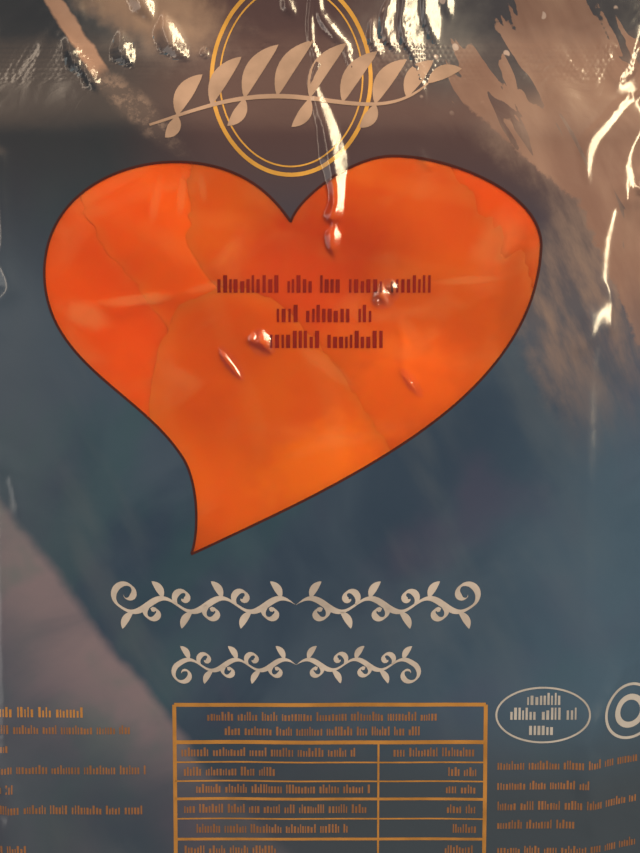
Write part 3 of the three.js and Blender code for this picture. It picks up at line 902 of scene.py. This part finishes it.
def pen_stroke(route, thin, thick, pen):
    """A ribbon as wide as a broad pen held at one angle draws it, with tapered ends."""
    ahead = np.gradient(route, axis=0)
    direction = np.arctan2(ahead[:, 1], ahead[:, 0])
    width = thin + (thick - thin) * np.abs(np.sin(direction - pen)) ** 1.5
    share = np.linspace(0, 1, len(route))
    width = width * smooth(np.minimum(share, 1 - share) / PEN_TAPER + 0.12)
    return ribbon(route, width / 2)


def curl(start, heading, hand, radius, turns):
    """A spiral that leaves the start tangentially, its radius falling evenly to a fifth."""
    t = np.linspace(0, 1, 90)
    centre = start + radius * np.array([-np.sin(heading), np.cos(heading)]) * hand
    angle = heading - hand * np.pi / 2 + hand * TURN * turns * t
    size = radius * (1 - 0.8 * t)
    return np.stack([centre[0] + size * np.cos(angle), centre[1] + size * np.sin(angle)], 1)


def leaf(root, heading, length, half_width):
    """A pointed leaf: its half width a sine over the length, its middle line bowed a little."""
    t = np.linspace(0, 1, 14)
    along = length * t
    bow = 0.12 * length * np.sin(np.pi * t)
    x = root[0] + along * np.cos(heading) - bow * np.sin(heading)
    y = root[1] + along * np.sin(heading) + bow * np.cos(heading)
    return ribbon(np.stack([x, y], 1), half_width * np.sin(np.pi * t) ** 0.8 + 0.03)


def vine(left, right, base, tall, halves):
    """A vine scroll: a sine wave stem with a curl in each hollow and a leaf on each crest, the same on both
    sides of the middle, between two larger curls. All its sizes are shares of its height."""
    middle = (left + right) / 2
    centre_y = base + 0.45 * tall
    swing = 0.24 * tall
    span = (right - left) / 2 - 0.75 * tall
    half_wave = span / (halves / 2)
    slope = np.arctan(np.pi * swing / half_wave)
    t = np.linspace(0, 1, 400)
    stem = np.stack([span * t, centre_y + swing * np.sin(np.pi * span * t / half_wave)], 1)
    last = 1 if halves % 4 == 0 else -1
    ending = curl(stem[-1], last * slope, last, 0.5 * tall, 1.1)
    strokes = [resampled(np.concatenate([stem, ending[1:]]), 0.3)]
    leaves = []
    for number in range(halves // 2):
        x = number * half_wave
        rising = 1 if number % 2 == 0 else -1
        if number > 0:
            start = np.array([x, centre_y])
            strokes.append(resampled(curl(start, rising * slope, rising, 0.33 * tall, 1.05), 0.25))
        crest = (x + half_wave / 2, centre_y + rising * swing)
        leaves.append(leaf(crest, rising * np.radians(58), 0.72 * tall, 0.13 * tall))
    shapes = []
    for side in (1, -1):
        pen = np.radians(90 - 50 * side)
        shapes += [(points * (side, 1) + (middle, 0), quads) for points, quads in leaves]
        sided = [route * (side, 1) + (middle, 0) for route in strokes]
        shapes += [pen_stroke(route, 0.08 * tall, 0.24 * tall, pen) for route in sided]
    return joined(shapes)


def sprig():
    """A curved stem with slanting leaves in pairs, larger near the middle, and a leaf at its end."""
    route = np.array(SPRIG)
    t = np.linspace(0, 1, 120)
    knots = np.linspace(0, 1, len(route))
    stem = np.stack([np.polyval(np.polyfit(knots, column, len(knots) - 1), t) for column in route.T], 1)
    shapes = [ribbon(stem, 0.34 * np.sin(np.pi * (0.12 + 0.8 * t)) + 0.08)]
    for number, share in enumerate(np.linspace(0.1, 0.92, 8)):
        root = stem[int(share * (len(stem) - 1))]
        size = 7.0 + 5.0 * np.sin(np.pi * share)
        shapes.append(leaf(root, np.radians(62 - 8 * share), size, 1.5))
        if number % 2 == 0:
            shapes.append(leaf(root, np.radians(-118 - 6 * share), 0.5 * size, 1.1))
    shapes.append(leaf(stem[-1], np.radians(24), 6.5, 1.2))
    return joined(shapes)


def drape(piece, surface, lift):
    """Drops the piece's points straight down onto the surface, then raises them by the lift."""
    wrap = piece.modifiers.new("drape", "SHRINKWRAP")
    wrap.target = surface
    wrap.wrap_method = "PROJECT"
    wrap.use_project_z = True
    wrap.use_negative_direction = True
    wrap.use_positive_direction = False
    bpy.context.view_layer.update()
    dropped = piece.evaluated_get(bpy.context.evaluated_depsgraph_get()).data
    co = np.empty(len(dropped.vertices) * 3, np.float32)
    dropped.vertices.foreach_get("co", co)
    piece.modifiers.remove(wrap)
    co[2::3] += lift * MM
    piece.data.vertices.foreach_set("co", co)
    piece.data.update()


def make_print(surface, inks):
    """All crisp print, each piece of it a thin skin draped on the film. Nothing in it is lettering: words
    are plain marks, and titles are vine scrolls."""
    small = HEAD_ROWS + [(left, right, y) for y, left, right, _ in TABLE_ROWS]
    small += [(value, VALUES_END, y) for y, _, _, value in TABLE_ROWS] + LEFT_ROWS + RIGHT_ROWS
    shapes = {
        "window_edge": ("edge", ribbon(OUTLINE, WINDOW_EDGE, closed=True)),
        "table_lines": ("table", joined(table_lines())),
        "small_print": ("text", rows_of_marks(small, 1.25, 5)),
        "small_heading": ("text_bold", rows_of_marks(HEADING_ROWS, 1.45, 6)),
        "date_marks": ("date", rows_of_marks(DATE_ROWS, 2.3, 7)),
        "oval_mark": ("pale", joined([*rings(OVAL), rows_of_marks(OVAL_ROWS, 1.7, 8)])),
        "round_mark": ("pale", joined(rings(ROUND_RINGS))),
        "cartouche": ("gold", joined(rings(CARTOUCHE_RINGS))),
        "leaf_sprig": ("cream_pink", sprig()),
        "title_scrolls": ("cream", joined([vine(*sizes) for sizes in VINES])),
    }
    for name, (ink, (flat, quads)) in shapes.items():
        points = np.concatenate([flat, np.full((len(flat), 1), PRINT_START_Z)], 1)
        piece = add_piece(name, points, quads, inks[ink], "printed_film")
        drape(piece, surface, 2 * PRINT_LIFT if name == "leaf_sprig" else PRINT_LIFT)


# ---------------------------------------------------------------- materials

class Field:
    """A value that varies over a surface: a node's output that is added, subtracted and multiplied like a
    number."""

    def __init__(self, paint, socket):
        self.paint = paint
        self.socket = socket

    def combined(self, operation, *others):
        return self.paint.field("ShaderNodeMath", dict(enumerate((self, *others))), operation=operation)

    def __add__(self, other):
        return self.combined("ADD", other)

    def __sub__(self, other):
        return self.combined("SUBTRACT", other)

    def __mul__(self, other):
        return self.combined("MULTIPLY", other)

    __rmul__ = __mul__

    def __abs__(self):
        return self.combined("ABSOLUTE")

    def at_least(self, other):
        return self.combined("MAXIMUM", other)


class Paint:
    """The nodes of one material or world. A field's X and Y are metres, and sizes given to it are
    millimetres."""

    def __init__(self, owner):
        owner.use_nodes = True
        self.tree = owner.node_tree
        self.tree.nodes.clear()
        self.coordinates = self.add("ShaderNodeTexCoord").outputs
        self.place = Field(self, self.coordinates["Object"])

    def add(self, kind, inputs=None, **settings):
        node = self.tree.nodes.new(kind)
        for name, value in settings.items():
            setattr(node, name, value)
        for key, value in (inputs or {}).items():
            value = value.socket if isinstance(value, Field) else value
            if isinstance(value, bpy.types.NodeSocket):
                self.tree.links.new(value, node.inputs[key])
            else:
                node.inputs[key].default_value = value
        return node

    def field(self, kind, inputs, output=0, **settings):
        return Field(self, self.add(kind, inputs, **settings).outputs[output])

    def mapped(self, turn=0.0, stretch=(1, 1, 1), centre=(0, 0)):
        """The place, with an origin in millimetres, turned by degrees, its axes then scaled."""
        origin = (centre[0] * MM, centre[1] * MM, 0)
        moved = self.field("ShaderNodeVectorMath", {0: self.place, 1: origin}, operation="SUBTRACT")
        turned = self.field("ShaderNodeVectorRotate", {"Vector": moved, "Angle": -np.radians(turn)},
                            rotation_type="Z_AXIS")
        return self.field("ShaderNodeVectorMath", {0: turned, 1: stretch}, operation="MULTIPLY")

    def noise(self, size, detail=3.0, roughness=0.5, distortion=0.0, vector=None):
        inputs = {"Vector": vector or self.place, "Scale": 1 / (size * MM), "Detail": detail,
                  "Roughness": roughness, "Distortion": distortion}
        return self.field("ShaderNodeTexNoise", inputs, "Fac")

    def between(self, value, low, high, to_low=0.0, to_high=1.0):
        """Eases from to_low to to_high as the value goes from low to high."""
        inputs = {"Value": value, "From Min": low, "From Max": high, "To Min": to_low, "To Max": to_high}
        return self.field("ShaderNodeMapRange", inputs, interpolation_type="SMOOTHSTEP")

    def split(self, vector):
        return [Field(self, part) for part in self.add("ShaderNodeSeparateXYZ", {0: vector}).outputs]

    def mix(self, factor, a, b):
        return self.field("ShaderNodeMix", {0: factor, 6: a, 7: b}, 2, data_type="RGBA")

    def blob(self, centre, half_x, half_y, turn):
        """1 in the middle of an ellipse in millimetres, easing out to 0 at its uneven border."""
        scaled_place = self.mapped(turn, (1 / (half_x * MM), 1 / (half_y * MM), 0), centre)
        out = self.field("ShaderNodeVectorMath", {0: scaled_place}, "Value", operation="LENGTH")
        return self.between(out + 0.7 * (self.noise(3.2, detail=4) - 0.5), 1.15, 0.35)

    def printed(self, colour):
        """The colour that printed ink keeps under the studio's light."""
        return self.mix(1 - INK_SHARE, colour, (0, 0, 0, 1))

    def bump(self, height, strength, distance, **below):
        inputs = {"Height": height, "Strength": strength, "Distance": distance * MM, **below}
        return self.field("ShaderNodeBump", inputs)

    def film_wrinkles(self, strength=1.0):
        """Fine relief of clinging film: an even orange peel and sharper little crinkles."""
        sharp = abs(self.noise(7.0, distortion=1.2) - 0.5)
        peel = self.bump(self.noise(1.8, detail=2), 0.3 * strength, 0.03)
        return self.bump(sharp, 0.35 * strength, 0.16, Normal=peel)


def new_material(name, paint_shader, *values):
    """A material whose surface is the shader that the function paints."""
    material = bpy.data.materials.new(name)
    paint = Paint(material)
    paint.add("ShaderNodeOutputMaterial", {"Surface": paint_shader(paint, *values).outputs[0]})
    return material


def srgb(red, green, blue):
    """A colour given as 0 to 255 on screen, as the shader's linear one."""
    values = np.array([red, green, blue]) / 255
    linear = np.where(values <= 0.04045, values / 12.92, ((values + 0.055) / 1.055) ** 2.4)
    return (*(float(value) for value in linear), 1.0)


FILM_ROUGHNESS = 0.14
FILM_IOR = 1.5
INK_SHARE = 0.84
# Soft ellipses: middle, half length, half width, turn
# The first is a painted warm sheen: the glow of crumpled film over the upper left, painted into the print
PAINTED_SHEEN = ((-26, 87), 17, 8, -24)
SCUFFED = [((-26, 84), 19, 9, -20), ((21, 82), 14, 10, 0)]  # fine crumples give the film a broad sheen
STROKE_HAZE = ((-27, 67.5), 12, 2.8, -42)
STROKE_START = (-36.7, 79.0)
STROKE_TURN = -57
SPLASH_CENTRE = (44, 60)
SPLASH_TURN = 116


def printed_film(paint):
    """Slate-blue print with cloudy mottling, a brushed pale splash at the upper right and a mauve sweep."""
    x, y, _ = paint.split(paint.place)
    cloud = paint.noise(34, detail=4, roughness=0.55, distortion=0.6)
    tint = paint.noise(22, vector=paint.mapped(centre=(90, -40)))
    streak = paint.noise(14, detail=4, vector=paint.mapped(28, (1, 0.28, 1)))
    green = paint.noise(17, vector=paint.mapped(-20, (1, 0.5, 1), (-50, 30)))
    # The top of the print darkens and turns warm brown from the middle rightwards: painted warm haze, light
    # reflected on the film there
    top_with_painted_haze = paint.mix(paint.between(x, -0.034, -0.010), srgb(44, 46, 50), srgb(78, 58, 56))
    grey = paint.between(x, 0.014, 0.026) * paint.between(y, 0.066, 0.074)
    top_with_painted_haze = paint.mix(grey, top_with_painted_haze, srgb(60, 58, 62))
    ground = paint.mix(paint.between(cloud, 0.38, 0.66), srgb(43, 60, 80), srgb(58, 74, 92))
    layers = [
        (paint.between(tint, 0.5, 0.72, 0, 0.55), srgb(64, 62, 86)),
        (paint.between(green, 0.52, 0.70, 0, 0.35), srgb(44, 78, 84)),
        (paint.between(streak, 0.55, 0.75, 0, 0.35), srgb(84, 92, 100)),
        (paint.between(x - 0.6 * y, 0.02, 0.075, 0, 0.6), srgb(66, 92, 114)),
        (paint.between(x, -0.030, -0.050, 0, 0.3), srgb(84, 90, 98)),
        (paint.between(y, -0.034, -0.056) * paint.between(x, -0.030, 0.010, 0.3, 0.8), srgb(56, 62, 68)),
        # painted warm haze over the top of the print
        (paint.between(y, 0.030, 0.064, 0, 0.92), top_with_painted_haze),
        # painted warm sheen of crumpled film, lighter brown over the upper left
        (0.75 * paint.blob(*PAINTED_SHEEN), srgb(142, 112, 90)),
    ]
    for share, tone in layers:
        ground = paint.mix(share, ground, tone)
    ground = sweep(paint, ground, x, y)
    ground = side_stroke(paint, ground)
    ground = splash(paint, ground, y)
    first, second = (paint.blob(*patch) for patch in SCUFFED)
    roughness = paint.between(paint.noise(9), 0.3, 0.7, FILM_ROUGHNESS - 0.03, FILM_ROUGHNESS + 0.04)
    return paint.add("ShaderNodeBsdfPrincipled", {
        "Base Color": paint.printed(ground), "Roughness": roughness, "IOR": FILM_IOR,
        "Normal": paint.film_wrinkles(), "Coat Weight": first.at_least(second), "Coat Roughness": 0.5})


def sweep(paint, ground, x, y):
    """A broad mauve-grey brush sweep over the lower left corner: its upper edge is a wavering slope, and it
    fades inwards from there and towards its lower end."""
    inwards = -1.27 * x - 0.0668 - y + 0.012 * (paint.noise(20, detail=4, roughness=0.55) - 0.5)
    worn = paint.noise(18, detail=4, distortion=0.8, vector=paint.mapped(-55, (1, 0.45, 1)))
    texture = paint.between(inwards, 0.004, 0.040, 1.0, 0.25) * paint.between(worn, 0.3, 0.62, 0.55, 0.95)
    lower_end = paint.between(0.016 * worn + y, -0.046, -0.026, 0.22, 1.0)
    strength = paint.between(inwards, -0.001, 0.0035) * texture * lower_end
    tone = paint.mix(paint.between(paint.noise(15), 0.4, 0.62), srgb(118, 106, 114), srgb(98, 102, 106))
    return paint.mix(strength, ground, tone)


def side_stroke(paint, ground):
    """A narrow straight tan stroke down from the upper left corner, breaking up into a pale haze."""
    along, across, _ = paint.split(paint.mapped(STROKE_TURN, centre=STROKE_START))
    rag = 0.0014 * (paint.noise(2.5, detail=4) - 0.5) + 0.0015
    stroke = paint.between(rag - abs(across), -0.0002, 0.0004)
    stroke = 0.85 * (stroke * paint.between(0.004 * paint.noise(3, detail=4) + along, 0.010, 0.006))
    ground = paint.mix(stroke, ground, srgb(158, 124, 104))
    flecks = paint.between(paint.noise(2.4, detail=5, roughness=0.7), 0.45, 0.62, 0.25, 1.0)
    return paint.mix(0.7 * (flecks * paint.blob(*STROKE_HAZE)), ground, srgb(136, 116, 104))


def splash(paint, ground, y):
    """A pale dry-brush stroke up the right side. Wide fingers end unevenly at the top with dark gaps
    between them, narrow slits run a little way down from their tips, drops are thrown ahead, and below it
    fades out into a wash."""
    def brushed_noise(size, stretch, **settings):
        return paint.noise(size, vector=paint.mapped(SPLASH_TURN, stretch, SPLASH_CENTRE), **settings)

    along, across, _ = paint.split(paint.mapped(SPLASH_TURN, centre=SPLASH_CENTRE))
    bands = brushed_noise(5.2, (0.07, 1, 1), detail=2, roughness=0.45, distortion=0.15)
    hairs = brushed_noise(2.8, (0.09, 1, 1), detail=2, distortion=0.4)
    ragged = paint.noise(3.0, detail=4, roughness=0.6) - 0.5
    tall = paint.between(across, -0.006, -0.009, 0, 0.012) * paint.between(across, -0.019, -0.015)
    reach = paint.between(bands, 0.47, 0.57, 0.009, 0.022) + 0.026 * (hairs - 0.5) + 0.007 * ragged
    reach = reach + (tall + paint.between(across, -0.015, -0.019, 0, -0.007))
    below_tip = reach - along
    whole = paint.between(hairs - paint.between(below_tip, 0.0, 0.010, 0.44, 0.28), -0.007, 0.007)
    edge = 0.45 * along.at_least(-0.010) + 0.0040 + 0.005 * ragged - across
    mask = paint.between(below_tip, 0.0, 0.0008) * whole * paint.between(edge, 0.0, 0.0010)
    mask = mask * paint.between(along, -0.052, -0.020, 0.1, 0.96)

    tones = paint.noise(8, detail=4, vector=paint.mapped(SPLASH_TURN, (0.3, 1, 1)))
    pale = paint.mix(paint.between(tones, 0.35, 0.65), srgb(128, 98, 86), srgb(149, 119, 104))
    pale = paint.mix(paint.between(y, 0.056, 0.068, 0, 0.3), pale, srgb(40, 32, 30))
    washed = paint.between(edge + paint.between(along, -0.004, -0.024, 0.005, 0.021), 0.0, 0.007)
    wash = washed * paint.between(along, -0.056, -0.024, 0.0, 0.85) * paint.between(along, 0.012, 0.004)
    streaks = paint.noise(7, detail=5, roughness=0.6, vector=paint.mapped(SPLASH_TURN, (0.3, 1, 1)))
    colour = paint.mix(wash * paint.between(streaks, 0.36, 0.6, 0.3, 1.0), ground, srgb(134, 113, 102))
    colour = paint.mix(mask, colour, pale)

    spots = {"Vector": paint.mapped(SPLASH_TURN, (0.8, 1, 1)), "Scale": 1 / (3.6 * MM)}
    drop = paint.between(paint.field("ShaderNodeTexVoronoi", spots, "Distance"), 0.18, 0.12)
    ahead = paint.between(along, 0.012, 0.016) * paint.between(along, 0.042, 0.034)
    ahead = ahead * paint.between(edge, -0.004, -0.002)
    drops = drop * (ahead * paint.between(paint.noise(5, detail=0), 0.44, 0.48))
    return paint.mix(drops, colour, srgb(158, 140, 131))


# Pale patches over the window, painted soft reflections on the clear film: middle, half length, half width,
# turn, amount
PAINTED_REFLECTION_PATCHES = [
    ((-36, 32), 5, 2.6, -25, 0.16), ((-27, 34.6), 7, 1.2, 6, 0.16), ((-14, 37), 5, 0.9, 12, 0.1),
    ((35.5, 44.5), 7.5, 4.2, 62, 0.12), ((31, 38), 7, 0.9, 4, 0.12), ((-19, 53), 4, 1, 84, 0.12),
    ((-15.5, 54), 3, 0.9, 96, 0.1), ((-23.5, 52), 4.5, 1, 78, 0.1), ((6, 23), 7, 1.6, -38, 0.08),
    ((-38, 45), 8, 2.6, 60, 0.06), ((20, 30), 6, 1.6, -50, 0.06),
]


def clear_film(paint):
    """Clear film: mostly see-through, with a gloss that grows at a slant, faint milky patches and painted
    soft reflections.
    """
    normal = paint.film_wrinkles(0.5)
    clear = paint.add("ShaderNodeBsdfTransparent", {"Color": (1.0, 0.97, 0.92, 1)})
    gloss = paint.add("ShaderNodeBsdfGlossy", {"Color": (1, 1, 1, 1), "Roughness": 0.13, "Normal": normal})
    fresnel = paint.field("ShaderNodeFresnel", {"IOR": FILM_IOR, "Normal": normal})
    film = paint.add("ShaderNodeMixShader", {0: fresnel, 1: clear.outputs[0], 2: gloss.outputs[0]})
    # A pale diffuse layer: milky film where the noise is high, and painted soft reflections in the listed
    # patches
    milk_and_painted_reflection = paint.add("ShaderNodeBsdfDiffuse", {"Color": srgb(232, 166, 104)})
    patch = paint.noise(19, distortion=0.7, vector=paint.mapped(15, (1, 2.1, 1)))
    amount = paint.between(patch, 0.52, 0.78, 0.0, 0.10)
    # painted soft reflections, one pale patch each
    for *place, share in PAINTED_REFLECTION_PATCHES:
        amount = amount.at_least(share * paint.blob(*place))
    return paint.add("ShaderNodeMixShader", {0: amount, 1: film.outputs[0], 2: milk_and_painted_reflection.outputs[0]})


# Large soft spots of another tone in the fish: middle, half length, half width, turn, tone
RED_SPOT = ((3, 40), 20, 15, 30)
# The first spot is painted light: a lighter patch that lifts a place the light leaves darker. The others are
# the fish's own tones
FISH_TONE_AND_LIGHT_SPOTS = [((19, 19), 14, 10, 40, srgb(248, 122, 8)), ((4, 6), 13, 8, 30, srgb(248, 140, 10)),
              ((41, 36), 7, 13, 0, srgb(188, 86, 9))]
PALE_FAT = srgb(232, 146, 70)


def salmon(paint, light, deep, grain, red):
    """Smoked fish: soft cloudy orange, redder in one place, with faint pale muscle lines in flat arcs and a
    paler thin edge."""
    cloud = paint.noise(26, detail=2, distortion=0.4, vector=paint.mapped(centre=(grain, -grain)))
    colour = paint.mix(paint.between(cloud, 0.36, 0.64), srgb(*deep), srgb(*light))
    colour = paint.mix(red * paint.blob(*RED_SPOT), colour, srgb(206, 70, 8))
    # painted light in the first spot, the fish's own tones in the rest
    for *place, tone in FISH_TONE_AND_LIGHT_SPOTS:
        colour = paint.mix(0.7 * paint.blob(*place), colour, tone)
    arcs = {"Vector": paint.mapped(grain, centre=(0, 10)), "Scale": 1 / (44 * MM), "Distortion": 3.0,
            "Detail": 2.0, "Detail Scale": 1.0, "Detail Roughness": 0.5}
    lines = paint.field("ShaderNodeTexWave", arcs, "Fac", wave_type="BANDS", bands_direction="X")
    fat = paint.between(lines, 0.72, 1.0, 0, 0.16) * paint.between(paint.noise(15), 0.35, 0.65)
    fibre = paint.noise(2.6, detail=4, roughness=0.6, vector=paint.mapped(grain, (0.25, 1, 1)))
    edge = paint.field("ShaderNodeAttribute", {}, "Fac", attribute_name="from_edge")
    ragged = edge + 2.0 * (paint.noise(4) - 0.5)
    for share in (fat, paint.between(fibre, 0.3, 0.7, 0, 0.05), paint.between(ragged, 0.0, 3.5, 0.14, 0)):
        colour = paint.mix(share, colour, PALE_FAT)
    return paint.add("ShaderNodeBsdfPrincipled", {
        "Base Color": colour, "Roughness": 0.6, "IOR": 1.2, "Subsurface Weight": 0.25,
        "Subsurface Radius": (1.0, 0.35, 0.12), "Subsurface Scale": 1.5 * MM,
        "Normal": paint.bump(fibre, 0.2, 0.1)})


def ink(paint, colour, uneven):
    """Ink under the film's gloss, in part darker."""
    dark = tuple(0.72 * part for part in colour[:3]) + (1.0,)
    tone = paint.between(paint.noise(7, detail=4), 0.35, 0.7, 0, uneven)
    shade = paint.printed(paint.mix(tone, colour, dark))
    return paint.add("ShaderNodeBsdfPrincipled", {
        "Base Color": shade, "Roughness": FILM_ROUGHNESS, "IOR": FILM_IOR, "Normal": paint.film_wrinkles()})


def back_print(paint):
    """The plain dark back of the pack, faintly mottled."""
    colour = paint.mix(paint.noise(30, detail=4), srgb(40, 52, 62), srgb(62, 76, 88))
    return paint.add("ShaderNodeBsdfPrincipled", {
        "Base Color": colour, "Roughness": 0.24, "IOR": FILM_IOR, "Normal": paint.film_wrinkles()})


# ---------------------------------------------------------------- studio

FLOOR_SIDE = 1500
FLOOR_Z = -0.05
FLOOR_TONES = [(0.70, 0.69, 0.67, 1), (0.76, 0.75, 0.73, 1)]
DIM_LIGHT = (0.225, 0.225, 0.24, 1)
WARM_GLOW = (1.45, 0.92, 0.62, 1)
# Lamps: X, Y and Z, size, power and colour
LAMPS = {
    "soft_left": ((-620, -120, 620), (420, 420), 0.95, (1.0, 0.95, 0.88)),
    "soft_right": ((280, 430, 600), (400, 400), 7.9, (1.0, 0.88, 0.66)),
    "right_strip": ((RIGHT_LAMP[0], 720, RIGHT_LAMP[1]), (110, 1400), 21.0, (1.0, 0.80, 0.50)),
    "left_strip": ((LEFT_LAMP[0], 700, LEFT_LAMP[1]), (70, 1500), 2.4, (1.0, 0.80, 0.60)),
}
STRIPS = ("right_strip", "left_strip")  # these face straight down and only show in mirrors
UNMIRRORED = "soft_right"


def make_camera():
    """Looks down on the pack, tilted so that the pack's top is a little nearer."""
    data = bpy.data.cameras.new("camera")
    data.lens = LENS
    data.sensor_width = SENSOR
    data.clip_start = 0.01
    camera = new_object("camera", data)
    camera.location = [float(part) * MM for part in CAMERA_PLACE]
    camera.rotation_euler = (-TILT, 0, 0)
    bpy.context.scene.camera = camera


def add_lamp(name, place, size, power, colour):
    """An area lamp at a place in millimetres that faces the pack or straight down, its second side along
    +Y."""
    data = bpy.data.lights.new(name, "AREA")
    data.shape = "RECTANGLE"
    data.size, data.size_y = size[0] * MM, size[1] * MM
    data.energy = power
    data.color = colour
    lamp = new_object(name, data)
    backward = Vector((0, 0, 1)) if name in STRIPS else Vector(place)
    sideways = Vector((0, 1, 0)).cross(backward).normalized()
    forward = backward.cross(sideways).normalized()
    lamp.matrix_world = Matrix((sideways, forward, backward.normalized())).transposed().to_4x4()
    lamp.location = Vector(place) * MM
    lamp.visible_glossy = name != UNMIRRORED
    lamp.visible_diffuse = name not in STRIPS


def floor_paint(paint):
    """A pale floor, faintly mottled."""
    colour = paint.mix(paint.noise(60, detail=4), *FLOOR_TONES)
    return paint.add("ShaderNodeBsdfPrincipled", {"Base Color": colour, "Roughness": 0.7})


def make_world():
    """Even dim light all round, and a wide soft warm glow high up towards +Y."""
    world = bpy.data.worlds.new("studio")
    paint = Paint(world)
    towards_y = paint.split(paint.coordinates["Generated"])[1]
    colour = paint.mix(paint.between(towards_y, 0.3, 0.8), DIM_LIGHT, WARM_GLOW)
    background = paint.add("ShaderNodeBackground", {"Color": colour})
    paint.add("ShaderNodeOutputWorld", {"Surface": background.outputs[0]})
    bpy.context.scene.world = world


def make_studio():
    """A pale floor, soft light from both sides, and two long lamps that only show as glints on the
    creases."""
    corners = [(x * FLOOR_SIDE, y * FLOOR_SIDE, FLOOR_Z) for x, y in ((-1, -1), (1, -1), (1, 1), (-1, 1))]
    floor = new_object("floor", new_mesh("floor", corners, [[0, 1, 2, 3]]))
    floor.data.materials.append(new_material("floor", floor_paint))
    make_world()
    bpy.context.scene.view_settings.view_transform = "Standard"
    for name, values in LAMPS.items():
        add_lamp(name, *values)


# ---------------------------------------------------------------- the pack

# Inks: tone on screen, and how far the darker parts go
INK_TONES = {
    "edge": ((70, 30, 20), 0.8), "table": ((172, 122, 58), 1.0), "text": ((140, 96, 61), 1.0),
    "text_bold": ((178, 126, 66), 1.0), "date": ((132, 30, 14), 1.0), "pale": ((176, 172, 168), 1.0),
    "gold": ((204, 152, 68), 0.8), "cream_pink": ((168, 140, 120), 1.0), "cream": ((186, 176, 168), 1.0),
}
# Slices: light and deep tone on screen, turn of the grain, and how much redder the fish is in its red spot
SALMON_TONES = [
    ((236, 102, 6), (230, 92, 5), 20, 0), ((236, 102, 6), (230, 92, 5), 35, 0),
    ((238, 108, 6), (229, 96, 5), 60, 0), ((218, 104, 7), (214, 92, 5), 80, 0.8),
    ((230, 114, 8), (222, 98, 6), 15, 0),
]

make_camera()
make_studio()

INKS = {name: new_material(f"{name}_ink", ink, srgb(*tone), uneven)
        for name, (tone, uneven) in INK_TONES.items()}
FILMS = [new_material(paint.__name__, paint) for paint in (printed_film, clear_film, back_print)]
WHOLE_FRONT = make_films(*FILMS)
make_print(WHOLE_FRONT, INKS)
bpy.data.objects.remove(WHOLE_FRONT)
for number, tones in enumerate(SALMON_TONES):
    make_slice(number, new_material(f"salmon_{number + 1}", salmon, *tones))
